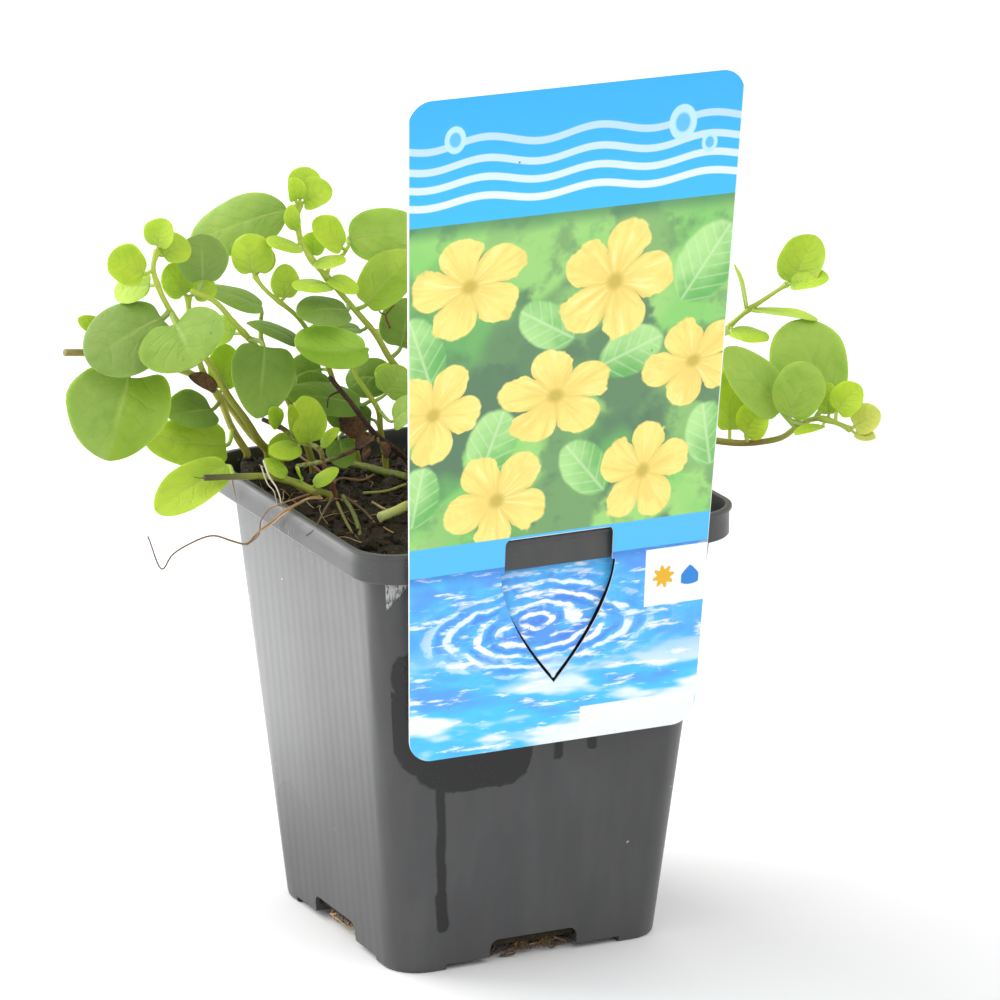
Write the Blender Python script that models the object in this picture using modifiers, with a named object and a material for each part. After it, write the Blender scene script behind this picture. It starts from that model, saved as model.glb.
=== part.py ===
"""A creeping jenny in a square nursery pot, with a plant label hung on the rim.

Lengths in the tables are millimetres and become metres through MM. +Z is up, the label is on
the -Y side, and the origin is the middle of the pot's base, on the surface it stands on.
"""
import math

import bmesh
import bpy
from mathutils import Matrix, Vector

MM = 0.001
GAP = 0.3

# Pot, half sizes from the middle to each side
POT_HEIGHT = 99.8
COLLAR_HALF = 44.6
COLLAR_BASE_Z = 93.0
COLLAR_RADIUS = 10.0
LIP_HALF = 45.0
LIP_HEIGHT = 1.0
WALL_TOP_HALF = 41.1
WALL_BASE_HALF = 32.4
WALL_RADIUS = 8.0
WALL_THICKNESS = 1.0
FLOOR_TOP_Z = 3.0
FOOT_HEIGHT = 1.4
FOOT_GAP_WIDTH = 42.0
DRAIN_WIDTH = 21.0
DRAIN_TOP_Z = 5.4
DRAIN_DEPTH = 6.0
DRAIN_CORNER = 2.0
SLOT_WIDTH = 28.5
SLOT_CLEARANCE = 0.1
CORNER_SEGMENTS = 4

# Soil
SOIL_LEVEL = 95.0
SOIL_TOP_CELLS = 9
SOIL_HEAPS = (
    (-37.0, 37.0, 4.2, 6.5),
    (36.0, -35.0, 4.6, 7.0),
    (4.0, 14.0, 1.5, 16.0),
    (-30.0, -28.0, -1.2, 12.0),
)

# Label card, in its own plane: across and up from the point where it passes the collar
CARD_THICKNESS = 0.4
CARD_LEAN = math.radians(4.0)
CARD_PASS = (0.0, -45.95, 95.0)
CARD_MIDDLE = -0.85
CARD_TOP = 105.0
CARD_BOTTOM = -42.5
CARD_TOP_HALF = 39.2
CARD_BOTTOM_HALF = 34.2
CARD_CORNER = 5.5
CARD_CORNER_STEPS = 4
WINDOW_MIDDLE = -1.1
WINDOW_TOP = 5.65
WINDOW_HALF = 12.8
SHOULDER = -1.9
SHIELD_HALF = 13.6
SHIELD_TIP = -28.5
SHIELD_POWER = 1.7
SHIELD_STEPS = 8
TONGUE_ROUTE = (
    (-46.35, 100.65),
    (-45.5, 100.75),
    (-43.9, 100.7),
    (-43.0, 100.1),
    (-42.65, 97.5),
    (-42.45, 93.0),
    (-42.2, 88.5),
    (-42.2, 83.0),
    (-42.6, 76.0),
    (-42.7, 71.0),
    (-42.6, 67.6),
)
TONGUE_TRIM = 0.25

# The view that the visible shoots are laid out in: across to the right, up, and nearer
VIEW_TURN = math.radians(-25.87)
VIEW_RISE = math.radians(16.57)
VIEW_CENTRE = Vector((7.23, 0.0, 94.42))
VIEW_DISTANCE = 1515.75

# Stems
STEM_STEP = 5.0
STEM_SIDES_LEVEL = 0

# Leaf body: how far along the blade each ring stands, and its half thickness
BLADE_STATIONS = ((0.09, 0.26), (0.24, 0.22), (0.47, 0.2), (0.71, 0.18), (0.92, 0.14))
YOUNG_STATIONS = ((0.07, 0.24), (0.4, 0.22), (0.75, 0.18))
STALK_HALF = 0.5
FUSED_STALK_HALF = 0.36
STALK_FOOT = 0.1
LOBE = 0.16
ROUND_TIP = 0.55
OWN_LEAF_SIDES = 6
FUSED_LEAF_SIDES = 4

# Visible stems: lower and upper radius, the route, then the routes of side twigs. A place is
# across, up and nearer in the view, and a route starts at the soil.
STEMS = {
    "stem_left_high": (0.95, 0.6, (
        (-48.2, 4.8, -13), (-52.2, 12, -9), (-55.9, 17.5, -5), (-59.2, 21.9, -2),
        (-62.5, 27.4, 2), (-65.8, 32.5, 6), (-70.6, 38.4, 10), (-75, 46.1, 13),
        (-76.3, 50.9, 14), (-75.4, 54.4, 14))),
    "stem_left_inner": (0.95, 0.6, (
        (-55.5, 8.6, -15), (-57, 12.4, -14), (-58.8, 15.4, -12), (-61.8, 22.4, -9),
        (-64.5, 26.3, -6), (-66.7, 31.8, -2), (-68, 36.2, 1), (-68.6, 44.3, 2))),
    "stem_left_cut": (0.95, 0.9, (
        (-51, 7.5, -17), (-54.5, 14, -18), (-60.5, 21.5, -15), (-66.9, 26.8, -10),
        (-73.5, 29.2, -3), (-83.3, 31.1, 3), (-91.7, 31.9, 9), (-95.6, 31.9, 12))),
    "stem_left_upper": (0.9, 0.65, (
        (-41, 6, -15), (-43.9, 15.4, -12), (-48.2, 25.2, -8), (-52.2, 31.8, -3),
        (-55, 34.9, 0), (-58.8, 39, 4), (-63.2, 43.6, 7), (-68, 45.6, 8)),
        ((-51, 30, -5), (-52.6, 35.5, -6), (-52.6, 39.5, -6))),
    "stem_tall": (0.95, 0.6, (
        (-15.4, 6.6, -18), (-18, 17.5, -12), (-20.8, 26.3, -8), (-24.6, 31.4, -5),
        (-27.4, 36.2, -3), (-30.7, 40.1, -1), (-34, 43.9, 1), (-38.4, 48.9, 3),
        (-41.9, 53.1, 5), (-43.9, 56.6, 6), (-44.7, 61, 7), (-44.5, 64.5, 7)),
        ((-38.4, 48.9, 3), (-37.3, 51.8, 1), (-34.6, 53.7, 0), (-33.3, 55.9, 0))),
    "stem_bud": (0.8, 0.5, (
        (-31, 7, -18), (-34.5, 18, -14), (-38.4, 30.5, -8), (-42, 36.5, -4),
        (-44.6, 40, 0), (-47.4, 42.4, 3), (-50.4, 44.7, 5), (-53, 47.4, 7), (-54, 49, 7.5))),
    "stem_middle_low": (0.8, 0.6, (
        (-25, 9, -12), (-26.3, 15.5, -7), (-26.8, 19.7, -4), (-29.6, 24, -2),
        (-32, 28.1, -1), (-31.4, 31.2, -1))),
    "stem_old_brown": (0.75, 0.6, (
        (-20, 8, -16), (-22.6, 10.6, -10), (-27.4, 14.3, -3), (-32.5, 20.8, 5),
        (-37.5, 26.8, 10))),
    "stem_old_red": (0.7, 0.6, (
        (-36.2, 1.5, 2), (-38.4, 6.6, 1), (-39.7, 11, 2), (-43.9, 12.7, 3),
        (-47.6, 15.4, 4), (-52.2, 17.5, 5)),
        ((-44.7, 7.2, 2), (-38.8, 8.3, 1.3), (-34, 9.9, 0), (-30.3, 11.6, -2))),
    "stem_runner_left": (1.1, 0.8, (
        (-37.5, 0.2, 4), (-40.5, 1.6, 5.5), (-45, 3.6, 5), (-51, 4.9, 7),
        (-56.8, 4.9, 10), (-64.9, 4.6, 13))),
    "stem_cut_short": (1.1, 1.2, (
        (-17.5, -0.4, 13), (-19.5, -1.1, 15), (-22.5, -2.4, 18), (-26.3, -3.9, 21))),
    "stem_right_high": (0.85, 0.5, (
        (21.9, 8.3, -22), (30.7, 16.4, -22), (41.7, 28.5, -20), (50.4, 38.6, -16),
        (53.1, 41, -14), (58.1, 44.5, -12), (62.7, 47.6, -10))),
    "stem_runner_right": (1.1, 0.55, (
        (26.3, 7.5, -18), (30.5, 12.5, -15.5), (36, 14.8, -12), (47.4, 13.2, -7),
        (52.6, 12.7, -5), (58, 13.1, -3), (61.8, 14, -2), (65.8, 16.9, 0),
        (69.5, 18.2, 2), (73.5, 17.3, 4), (76.8, 15.8, 5))),
}

# Stems of the hidden side, in the pot's own axes: X, Y, Z
BACK_STEMS = {
    "stem_back_left": (0.9, 0.5, (
        (4, 29, 96), (7, 36, 108), (11, 41, 118), (15, 42, 128))),
    "stem_back_right": (0.95, 0.5, (
        (24, 26, 96), (32, 32, 110), (46, 37, 121), (60, 38, 127), (68, 39, 128))),
    "stem_middle_high": (0.95, 0.5, (
        (6, 8, 96), (3, 4, 115), (5, 0, 132), (8, -3, 148))),
    "stem_front_right": (0.9, 0.5, (
        (26, -12, 96), (31, -17, 112), (37, -22, 126), (41, -25, 136))),
    "stem_front_low": (0.85, 0.5, (
        (-3, -18, 96), (-3, -24, 107), (2, -29, 118), (8, -31, 127))),
}

# Leaves that are pieces of their own: name, stem, blade's base, tip, width, facing, cup, arch
# and how pointed the tip is. Facing is a direction of the same view, cup is the bend across in
# degrees, with raised edges where it is above 0, and arch is how far the middle stands proud.
OWN_LEAVES = (
    ("leaf_left_big", "stem_left_cut", (-81.8, 26.5, 12.5), (-86, 8.2, 18), 24,
     (-0.2, 0.3, 0.9), 12, 1.1, 0.62),
    ("leaf_left_grey", "stem_left_high", (-74.4, 39.6, 12.5), (-90.3, 29.4, 16), 19.5,
     (-0.3, 0.4, 0.85), -12, 1.2, 0.52),
    ("leaf_left_folded", "stem_left_high", (-71.4, 38.2, 18.5), (-67, 29, 27), 20.2,
     (-0.35, 0.6, 0.72), 12, 0.9, 0.5),
    ("leaf_left_top", "stem_left_high", (-78.4, 49.3, 15.8), (-86.2, 52.6, 18), 10,
     (-0.1, 0.45, 0.88), 16, 0.5, 0.5),
    ("leaf_round_grey", "stem_left_upper", (-65.4, 48, 7.5), (-65.9, 58, 7), 11.5,
     (0, 0.1, 1), -15, 0.5, 0.52),
    ("leaf_long_top", "stem_tall", (-47, 63.4, 1.5), (-68.2, 56.2, -4), 14,
     (0.1, 0.4, 0.9), -14, 1.2, 0.56),
    ("leaf_edge_light", "stem_left_upper", (-52.4, 42, -6.5), (-64.9, 46.1, -4), 10,
     (0.1, 0.85, 0.5), -10, 0.6, 0.58),
    ("leaf_yellow_top", "stem_tall", (-34.8, 55.3, 2.6), (-41.3, 61, 6), 8.5,
     (0, 0.6, 0.8), 15, 0.4, 0.52),
    ("leaf_behind_card", "stem_tall", (-33.4, 57.4, -1.6), (-16.4, 58.6, -5), 13,
     (0, 0.3, 0.95), -12, 1.0, 0.55),
    ("leaf_split_tone", "stem_tall", (-29.6, 42.8, 1.6), (-19.3, 54.2, 1), 12,
     (-0.2, 0.3, 0.9), 20, 0.5, 0.55),
    ("leaf_inner_grey", "stem_tall", (-33.7, 41.5, 4), (-44.6, 40.4, 11), 10.5,
     (0, 0.65, 0.75), -10, 0.8, 0.55),
    ("leaf_inner_dark", "stem_tall", (-30.8, 37.2, -3.5), (-43.6, 36.2, 0), 7.2,
     (0, 0.85, 0.45), 10, 0.8, 0.6),
    ("leaf_cup", "stem_middle_low", (-29.6, 33.2, 5), (-45, 33.6, 13), 13.5,
     (0, 0.62, 0.78), 24, -1.4, 0.5),
    ("leaf_dark_heart", "stem_left_upper", (-51.8, 33.4, 6), (-53.4, 17.6, 10), 14.5,
     (0.2, 0.25, 0.95), 16, 0.8, 0.66),
    ("leaf_dark_pointed", "stem_bud", (-44.8, 34.6, -2), (-55.8, 38.6, 0), 7,
     (0, 0.8, 0.5), -10, 0.8, 0.68),
    ("leaf_low_dark", "stem_left_inner", (-63.4, 19.6, -7), (-73, 18, -1), 12,
     (0, 0.6, 0.8), 12, 0.6, 0.58),
    ("leaf_droop_upper", "stem_left_inner", (-60.2, 11.8, -6.5), (-78, 12.4, 0), 12.5,
     (-0.1, 0.35, 0.9), 12, 0.6, 0.6),
    ("leaf_droop_lower", "stem_runner_left", (-60, 7.4, 6.6), (-75.4, -3, 11.4), 11.5,
     (-0.2, 0.45, 0.85), 12, 0.6, 0.52),
    ("leaf_low_wide", "stem_middle_low", (-30.8, 20.8, -4.5), (-47.4, 23.2, -1), 9.5,
     (0, 0.6, 0.75), -10, 0.8, 0.6),
    ("leaf_low_right_a", "stem_middle_low", (-25.2, 23.2, -3.5), (-20.9, 29, -3), 8.5,
     (0.1, 0.4, 0.9), 12, 0.4, 0.58),
    ("leaf_low_right_b", "stem_middle_low", (-23.4, 17.4, 2), (-17.2, 21.2, 6), 8.5,
     (0, 0.6, 0.8), 12, 0.5, 0.58),
    ("leaf_edge_dark", "stem_tall", (-21.8, 33.6, -7), (-20.1, 44.2, -10), 12,
     (0.1, 0.1, 1), 14, 0.5, 0.58),
    ("leaf_shade", "stem_bud", (-38.4, 22.2, -6.5), (-44.6, 26.6, -5), 9,
     (0, 0.6, 0.8), 10, 0.5, 0.58),
    ("leaf_deep_middle", "stem_bud", (-35.4, 13, -10), (-34, 6.8, -6), 7,
     (0, 0.6, 0.8), 10, 0.4, 0.58),
    ("leaf_shade_upper", "stem_bud", (-39.4, 28.6, -11.4), (-47.2, 26.4, -13), 8.5,
     (0, 0.3, 0.95), 10, 0.4, 0.58),
    ("leaf_shade_right", "stem_tall", (-24.4, 26.8, -10.6), (-34, 26.4, -12.4), 10,
     (0, 0.4, 0.9), -10, 0.6, 0.56),
    ("leaf_shade_low", "stem_middle_low", (-28.4, 17.6, -11), (-38.2, 18.4, -11.2), 7.5,
     (0, -0.1, 1), 8, 0.3, 0.58),
    ("leaf_low_left", "stem_left_upper", (-44.8, 12.4, -8.8), (-50.6, 9.4, -4.4), 7,
     (0, 0.3, 0.95), 10, 0.4, 0.58),
    ("leaf_withered_left", "stem_left_inner", (-62.4, 24, -4), (-68.4, 27, -2), 4.5,
     (0.1, 0.6, 0.8), 30, 0.4, 0.6),
    ("leaf_withered_middle", "stem_old_brown", (-29.8, 15, -8), (-35.2, 18.6, -7), 6.5,
     (0.1, 0.4, 0.9), -24, 0.4, 0.58),
    ("leaf_right_large", "stem_runner_right", (70.6, 22.4, -4), (63.9, 39.6, -6), 18,
     (0.15, 0.25, 0.95), -12, 1.2, 0.52),
    ("leaf_right_long", "stem_runner_right", (61.6, 19.8, 0.5), (49.2, 33.6, 1), 11.5,
     (0.2, 0.3, 0.9), -12, 0.8, 0.6),
    ("leaf_right_round", "stem_runner_right", (63.4, 18.6, 5), (67.6, 30.4, 7), 11.5,
     (0, 0.25, 0.95), -12, 0.8, 0.5),
    ("leaf_right_yellow", "stem_runner_right", (50.4, 15.6, -5.5), (49.8, 29.2, -6), 8,
     (0.3, 0.1, 0.9), 14, 0.5, 0.66),
    ("leaf_right_fold", "stem_runner_right", (53.6, 14.8, -2), (57.6, 20.2, 1), 8.5,
     (-0.1, 0.3, 0.95), 14, 0.4, 0.5),
    ("leaf_right_bud", "stem_runner_right", (73.8, 20, 6), (79, 25.4, 8), 8,
     (-0.2, 0.3, 0.9), 20, 0.4, 0.55),
)

# Small and young leaves, each grown on its stem, in the same form
YOUNG_LEAVES = (
    ("stem_left_high", (-75.3, 55.3, 14.4), (-73.7, 61.4, 15.2), 7.8, (-0.3, 0.2, 0.9), 30, 0.3),
    ("stem_left_high", (-74.2, 53.4, 13.4), (-68.6, 56.4, 11.2), 8.5, (0, 0.4, 0.9), 20, 0.3),
    ("stem_left_high", (-77, 46.8, 11.6), (-84.8, 45.6, 6), 8.5, (-0.1, 0.4, 0.9), 10, 0.3),
    ("stem_left_inner", (-69.3, 44.8, 2.4), (-73, 51.4, 5), 8, (0.2, 0.1, 0.95), 10, 0.3),
    ("stem_left_inner", (-67.5, 44.8, 1.2), (-62.8, 47.4, 0), 7, (0.1, 0.5, 0.8), 10, 0.3),
    ("stem_left_inner", (-61, 24.2, -10), (-60.3, 34, -10.5), 8, (0.3, 0.1, 0.9), 10, 0.3),
    ("stem_left_cut", (-86.6, 36.4, 4), (-92.8, 39.3, 6), 4.6, (-0.2, 0.5, 0.8), 10, 0.3),
    ("stem_left_upper", (-58.4, 36.4, -0.4), (-65.2, 37.6, -4), 8, (0, 0.4, 0.9), -10, 0.3),
    ("stem_tall", (-44.1, 66, 6), (-42.3, 72.8, 4.5), 8, (0, 0, 1), 45, 0.4),
    ("stem_tall", (-43.3, 65.3, 7.4), (-37.1, 68, 9), 8.5, (-0.3, 0.3, 0.8), 42, 0.4),
    ("stem_tall", (-45.1, 65.6, 8), (-46, 70.4, 10), 5.5, (0.5, 0.2, 0.8), 38, 0.3),
    ("stem_tall", (-44.8, 55.8, 7.4), (-50.8, 55.6, 13.4), 8, (0, 0.75, 0.65), -10, 0.4),
    ("stem_tall", (-41.4, 53.6, 4), (-40.8, 58.6, 2), 5.5, (0.1, 0.1, 0.95), 10, 0.3),
    ("stem_tall", (-37.4, 48.4, 4.2), (-31.4, 45.2, 7.5), 5.2, (0.3, 0.5, 0.8), 10, 0.3),
    ("stem_tall", (-38.2, 47.2, 4.6), (-45, 46, 12.6), 8, (0, 0.8, 0.55), -8, 0.4),
    ("stem_tall", (-45.4, 59, 8), (-45.9, 64.6, 10), 4.2, (-0.4, 0.2, 0.85), 10, 0.2),
    ("stem_tall", (-40.6, 52, 6), (-34.2, 52, 11.4), 5.5, (0.1, 0.6, 0.7), -10, 0.3),
    ("stem_tall", (-21.8, 26.6, -7.4), (-27.6, 28.2, -8), 6, (0, 0.5, 0.85), 10, 0.3),
    ("stem_bud", (-54.3, 49.6, 8.5), (-55.2, 58.2, 9.8), 10.4, (-0.2, 0.2, 0.9), -40, 0.6),
    ("stem_bud", (-53.2, 49.8, 7.2), (-51.8, 55.6, 4.5), 6.5, (0.1, 0.1, 0.95), 15, 0.3),
    ("stem_bud", (-47.4, 44.2, 4.2), (-47.4, 51.6, 6), 6.5, (0.1, 0.2, 0.95), 12, 0.3),
    ("stem_old_red", (-41.5, 12.6, 3.5), (-43.4, 22.6, 7), 8.4, (0.2, 0.3, 0.9), 12, 0.4),
    ("stem_old_red", (-45, 14.4, 4.4), (-46.3, 20.6, 11), 4, (0.5, 0.2, 0.8), 12, 0.2),
    ("stem_old_red", (-48.4, 16.2, 4.6), (-50.6, 19.8, 12), 4.5, (-0.2, 0.4, 0.9), 12, 0.2),
    ("stem_old_red", (-39.2, 11.8, 2.6), (-35.3, 15.4, 6), 3.5, (0, 0.5, 0.8), 12, 0.2),
    ("stem_old_red", (-44.2, 11.4, 3.4), (-50.4, 9.8, 8), 6, (0, 0.6, 0.8), -10, 0.3),
    ("stem_runner_left", (-43.6, 4.4, 5.6), (-44.2, 6.8, 9), 3.6, (-0.4, 0.4, 0.8), 12, 0.2),
    ("stem_runner_left", (-46.8, 5.2, 6.2), (-52, 8.6, 7), 4.5, (0, 0.7, 0.7), -10, 0.3),
    ("stem_runner_left", (-40.8, 3.2, 6.2), (-35.4, 6.6, 7), 4.5, (0, 0.7, 0.7), -10, 0.3),
    ("stem_right_high", (63.6, 47.8, -10), (69.2, 58.2, -8), 11, (-0.2, 0.2, 0.9), 30, 0.4),
    ("stem_right_high", (63.6, 47.8, -9.2), (71.9, 48.9, -5), 6, (-0.1, 0.5, 0.8), 24, 0.3),
    ("stem_right_high", (54, 42.4, -13.4), (51.1, 52, -12), 6.5, (0.95, 0.2, 0.15), 12, 0.3),
    ("stem_right_high", (55.4, 42, -12), (69.5, 39.7, -6), 7.5, (0, 0.95, 0.25), 10, 0.4),
    ("stem_right_high", (50.8, 37.6, -15), (58.6, 35.3, -10), 7, (0, 0.85, 0.5), -10, 0.3),
    ("stem_right_high", (44, 29.6, -18), (52.8, 27.4, -16), 5, (0, 0.8, 0.6), 10, 0.3),
    ("stem_runner_right", (72, 19.2, 3), (71.6, 26.2, 2.5), 5.5, (-0.4, 0.1, 0.9), 18, 0.3),
    ("stem_runner_right", (77.6, 16.6, 5.5), (83.3, 19.7, 7), 7.5, (-0.2, 0.3, 0.9), 24, 0.3),
    ("stem_runner_right", (77.8, 15, 5.8), (82.3, 14, 9), 3.2, (0, 0.3, 0.9), 16, 0.2),
    ("stem_runner_right", (70.6, 16.6, 3.6), (64.7, 14.6, 8), 5, (0, 0.95, 0.3), 10, 0.3),
)

# Opposite leaf pairs on the hidden stems: where along the stem, turn about it, blade length
BACK_PAIRS = {
    "stem_back_left": ((0.42, 20, 14), (0.68, 110, 13), (0.98, 30, 9)),
    "stem_back_right": ((0.42, 10, 14), (0.7, 95, 14), (0.97, 10, 10)),
    "stem_middle_high": ((0.38, 60, 14), (0.62, 150, 14), (0.84, 50, 12), (1.0, 140, 8)),
    "stem_front_right": ((0.4, 150, 13), (0.68, 60, 13), (0.97, 150, 9)),
    "stem_front_low": ((0.45, 170, 12), (0.72, 80, 12), (0.98, 170, 8)),
}
PAIR_STALK = 2.4
PAIR_SPREAD = 0.92
PAIR_WIDTH = 0.86
PAIR_CUP = -12
PAIR_ARCH = 0.8

# The root that hangs over the left rim, in the view, with its radii
ROOT_RADII = (0.6, 0.18)
ROOT_ROUTE = (
    (-39.6, 0.4, 15.5), (-42, 0.1, 22), (-44.2, -1.0, 28), (-46.6, -2.2, 28.6),
    (-48.9, -4, 22.8), (-50.6, -5.4, 19.4), (-53.2, -7.5, 16.5), (-55.7, -9.9, 15),
    (-58.5, -9.3, 15), (-62.7, -8.1, 15), (-68, -9.9, 15), (-72.1, -12.7, 16),
    (-73.7, -15.4, 17), (-77.2, -8.3, 16),
)

COLOURS = {
    "pot": ((0.035, 0.036, 0.037), 0.42),
    "soil": ((0.018, 0.014, 0.010), 0.95),
    "label": ((0.42, 0.68, 0.86), 0.35),
    "stem": ((0.42, 0.52, 0.14), 0.5),
    "old_stem": ((0.20, 0.10, 0.05), 0.7),
    "hanging": ((0.60, 0.46, 0.26), 0.7),
    "leaf": ((0.26, 0.44, 0.09), 0.42),
    "dark_leaf": ((0.12, 0.27, 0.04), 0.42),
    "yellow_leaf": ((0.45, 0.58, 0.07), 0.42),
}
DARK_LEAVES = ("leaf_inner_dark", "leaf_dark_heart", "leaf_dark_pointed", "leaf_low_dark",
               "leaf_edge_dark", "leaf_shade", "leaf_low_wide", "leaf_deep_middle",
               "leaf_shade_upper", "leaf_shade_right", "leaf_shade_low")
YELLOW_LEAVES = ("leaf_left_top", "leaf_yellow_top", "leaf_droop_upper", "leaf_droop_lower",
                 "leaf_right_yellow", "leaf_right_fold", "leaf_right_bud", "leaf_low_left")


def clear_scene():
    for item in list(bpy.data.objects):
        bpy.data.objects.remove(item, do_unlink=True)


def collection(name):
    group = bpy.data.collections.new(name)
    bpy.context.scene.collection.children.link(group)
    return group


def material(name):
    """A Principled material of its own for the sub-part called name."""
    if name in DARK_LEAVES:
        tone = "dark_leaf"
    elif name in YELLOW_LEAVES:
        tone = "yellow_leaf"
    elif name.startswith(("stem_old", "leaf_withered")):
        tone = "old_stem"
    else:
        tone = name.split("_")[0]
    colour, roughness = COLOURS[tone]
    finish = bpy.data.materials.new(name)
    finish.use_nodes = True
    shader = finish.node_tree.nodes["Principled BSDF"]
    shader.inputs["Base Color"].default_value = (*colour, 1.0)
    shader.inputs["Roughness"].default_value = roughness
    shader.inputs["Metallic"].default_value = 0.0
    return finish


def add_object(name, mesh, group):
    item = bpy.data.objects.new(name, mesh)
    group.objects.link(item)
    return item


def finish_part(item):
    item.data.materials.append(material(item.name))
    item.data.shade_smooth()
    item.data.set_sharp_from_angle(angle=math.radians(40))
    return item


def make_cutter(item):
    item.hide_render = True
    item.display_type = 'WIRE'
    return item


def boolean(target, other, operation):
    step = target.modifiers.new(operation.title() + "_" + other.name, 'BOOLEAN')
    step.operation = operation
    step.solver = 'EXACT'
    step.object = other
    return step


def mesh_from(bm, name):
    mesh = bpy.data.meshes.new(name)
    bm.to_mesh(mesh)
    bm.free()
    return mesh


def block(name, group, low_half, high_half, z_low, z_high, radius, middle=(0.0, 0.0)):
    """A box with the given half sizes at its two levels and rounded upright edges."""
    bm = bmesh.new()
    bmesh.ops.create_cube(bm, size=2.0)
    for vertex in bm.verts:
        top = vertex.co.z > 0
        half = high_half if top else low_half
        vertex.co = Vector((middle[0] + vertex.co.x * half[0], middle[1] + vertex.co.y * half[1],
                            z_high if top else z_low)) * MM
    if radius:
        upright = [e for e in bm.edges if abs(e.verts[0].co.z - e.verts[1].co.z) > 0.5 * MM]
        bmesh.ops.bevel(bm, geom=upright, offset=radius * MM, segments=CORNER_SEGMENTS,
                        profile=0.5, affect='EDGES', clamp_overlap=True)
    return add_object(name, mesh_from(bm, name), group)


def wall_half(z):
    """Half the pot's outer width at height z, below the collar."""
    return WALL_BASE_HALF + (WALL_TOP_HALF - WALL_BASE_HALF) * z / COLLAR_BASE_Z


def make_pot(parts, cutters):
    pot = block("pot", parts, (WALL_BASE_HALF,) * 2, (WALL_TOP_HALF,) * 2, 0.0,
                COLLAR_BASE_Z + WALL_THICKNESS / 2, WALL_RADIUS)
    collar = block("collar", cutters, (COLLAR_HALF,) * 2, (COLLAR_HALF,) * 2, COLLAR_BASE_Z,
                   POT_HEIGHT - LIP_HEIGHT / 2, COLLAR_RADIUS)
    lip = block("lip", cutters, (LIP_HALF,) * 2, (LIP_HALF,) * 2, POT_HEIGHT - LIP_HEIGHT,
                POT_HEIGHT, COLLAR_RADIUS)
    boolean(pot, make_cutter(collar), 'UNION')
    boolean(pot, make_cutter(lip), 'UNION')

    above = 2.0
    inner_low = wall_half(FLOOR_TOP_Z) - WALL_THICKNESS
    inner_high = wall_half(COLLAR_BASE_Z + above) - WALL_THICKNESS
    hollow = block("hollow", cutters, (inner_low,) * 2, (inner_high,) * 2, FLOOR_TOP_Z,
                   COLLAR_BASE_Z + above, WALL_RADIUS - WALL_THICKNESS)
    collar_inner = COLLAR_HALF - WALL_THICKNESS
    mouth = block("mouth", cutters, (collar_inner,) * 2, (collar_inner,) * 2,
                  COLLAR_BASE_Z + WALL_THICKNESS, POT_HEIGHT + above,
                  COLLAR_RADIUS - WALL_THICKNESS)
    boolean(pot, make_cutter(hollow), 'DIFFERENCE')
    boolean(pot, make_cutter(mouth), 'DIFFERENCE')

    wide = WALL_BASE_HALF + above
    narrow = FOOT_GAP_WIDTH / 2
    for name, half in (("under_x", (wide, narrow)), ("under_y", (narrow, wide))):
        under = block(name, cutters, half, half, -above, FOOT_HEIGHT, 0.0)
        boolean(pot, make_cutter(under), 'DIFFERENCE')

    for turn in range(4):
        drain = drain_cutter(cutters, "drain_%d" % turn)
        drain.rotation_euler.z = turn * math.pi / 2
        boolean(pot, make_cutter(drain), 'DIFFERENCE')

    slot_outer = COLLAR_HALF - WALL_THICKNESS - SLOT_CLEARANCE
    slot_inner = WALL_TOP_HALF + SLOT_CLEARANCE
    half = (SLOT_WIDTH / 2, (slot_outer - slot_inner) / 2)
    slot = block("label_slot", cutters, half, half, COLLAR_BASE_Z - above,
                 COLLAR_BASE_Z + above, 0.0, (WINDOW_MIDDLE, -(slot_outer + slot_inner) / 2))
    boolean(pot, make_cutter(slot), 'DIFFERENCE')
    return finish_part(pot)


def drain_cutter(cutters, name):
    """A box through the foot of the front wall, with its upper corners rounded."""
    outside = WALL_BASE_HALF + 2.0
    inside = WALL_BASE_HALF - DRAIN_DEPTH
    bm = bmesh.new()
    bmesh.ops.create_cube(bm, size=2.0)
    for vertex in bm.verts:
        vertex.co = Vector((vertex.co.x * DRAIN_WIDTH / 2,
                            -inside if vertex.co.y > 0 else -outside,
                            DRAIN_TOP_Z if vertex.co.z > 0 else -1.0)) * MM
    upper = [e for e in bm.edges if all(v.co.z > 0 for v in e.verts)
             and abs(e.verts[0].co.y - e.verts[1].co.y) > MM]
    bmesh.ops.bevel(bm, geom=upper, offset=DRAIN_CORNER * MM, segments=3, profile=0.5,
                    affect='EDGES', clamp_overlap=True)
    return add_object(name, mesh_from(bm, name), cutters)


def soil_height(x, y):
    """Height of the soil at x, y: a lumpy level with a few low heaps."""
    height = SOIL_LEVEL
    for heap_x, heap_y, rise, spread in SOIL_HEAPS:
        height += rise * math.exp(-((x - heap_x) ** 2 + (y - heap_y) ** 2) / (2 * spread ** 2))
    height += 0.5 * math.sin(x * 0.21 + 1.0) * math.cos(y * 0.17)
    height += 0.35 * math.sin(x * 0.27 - y * 0.23)
    return height


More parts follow.
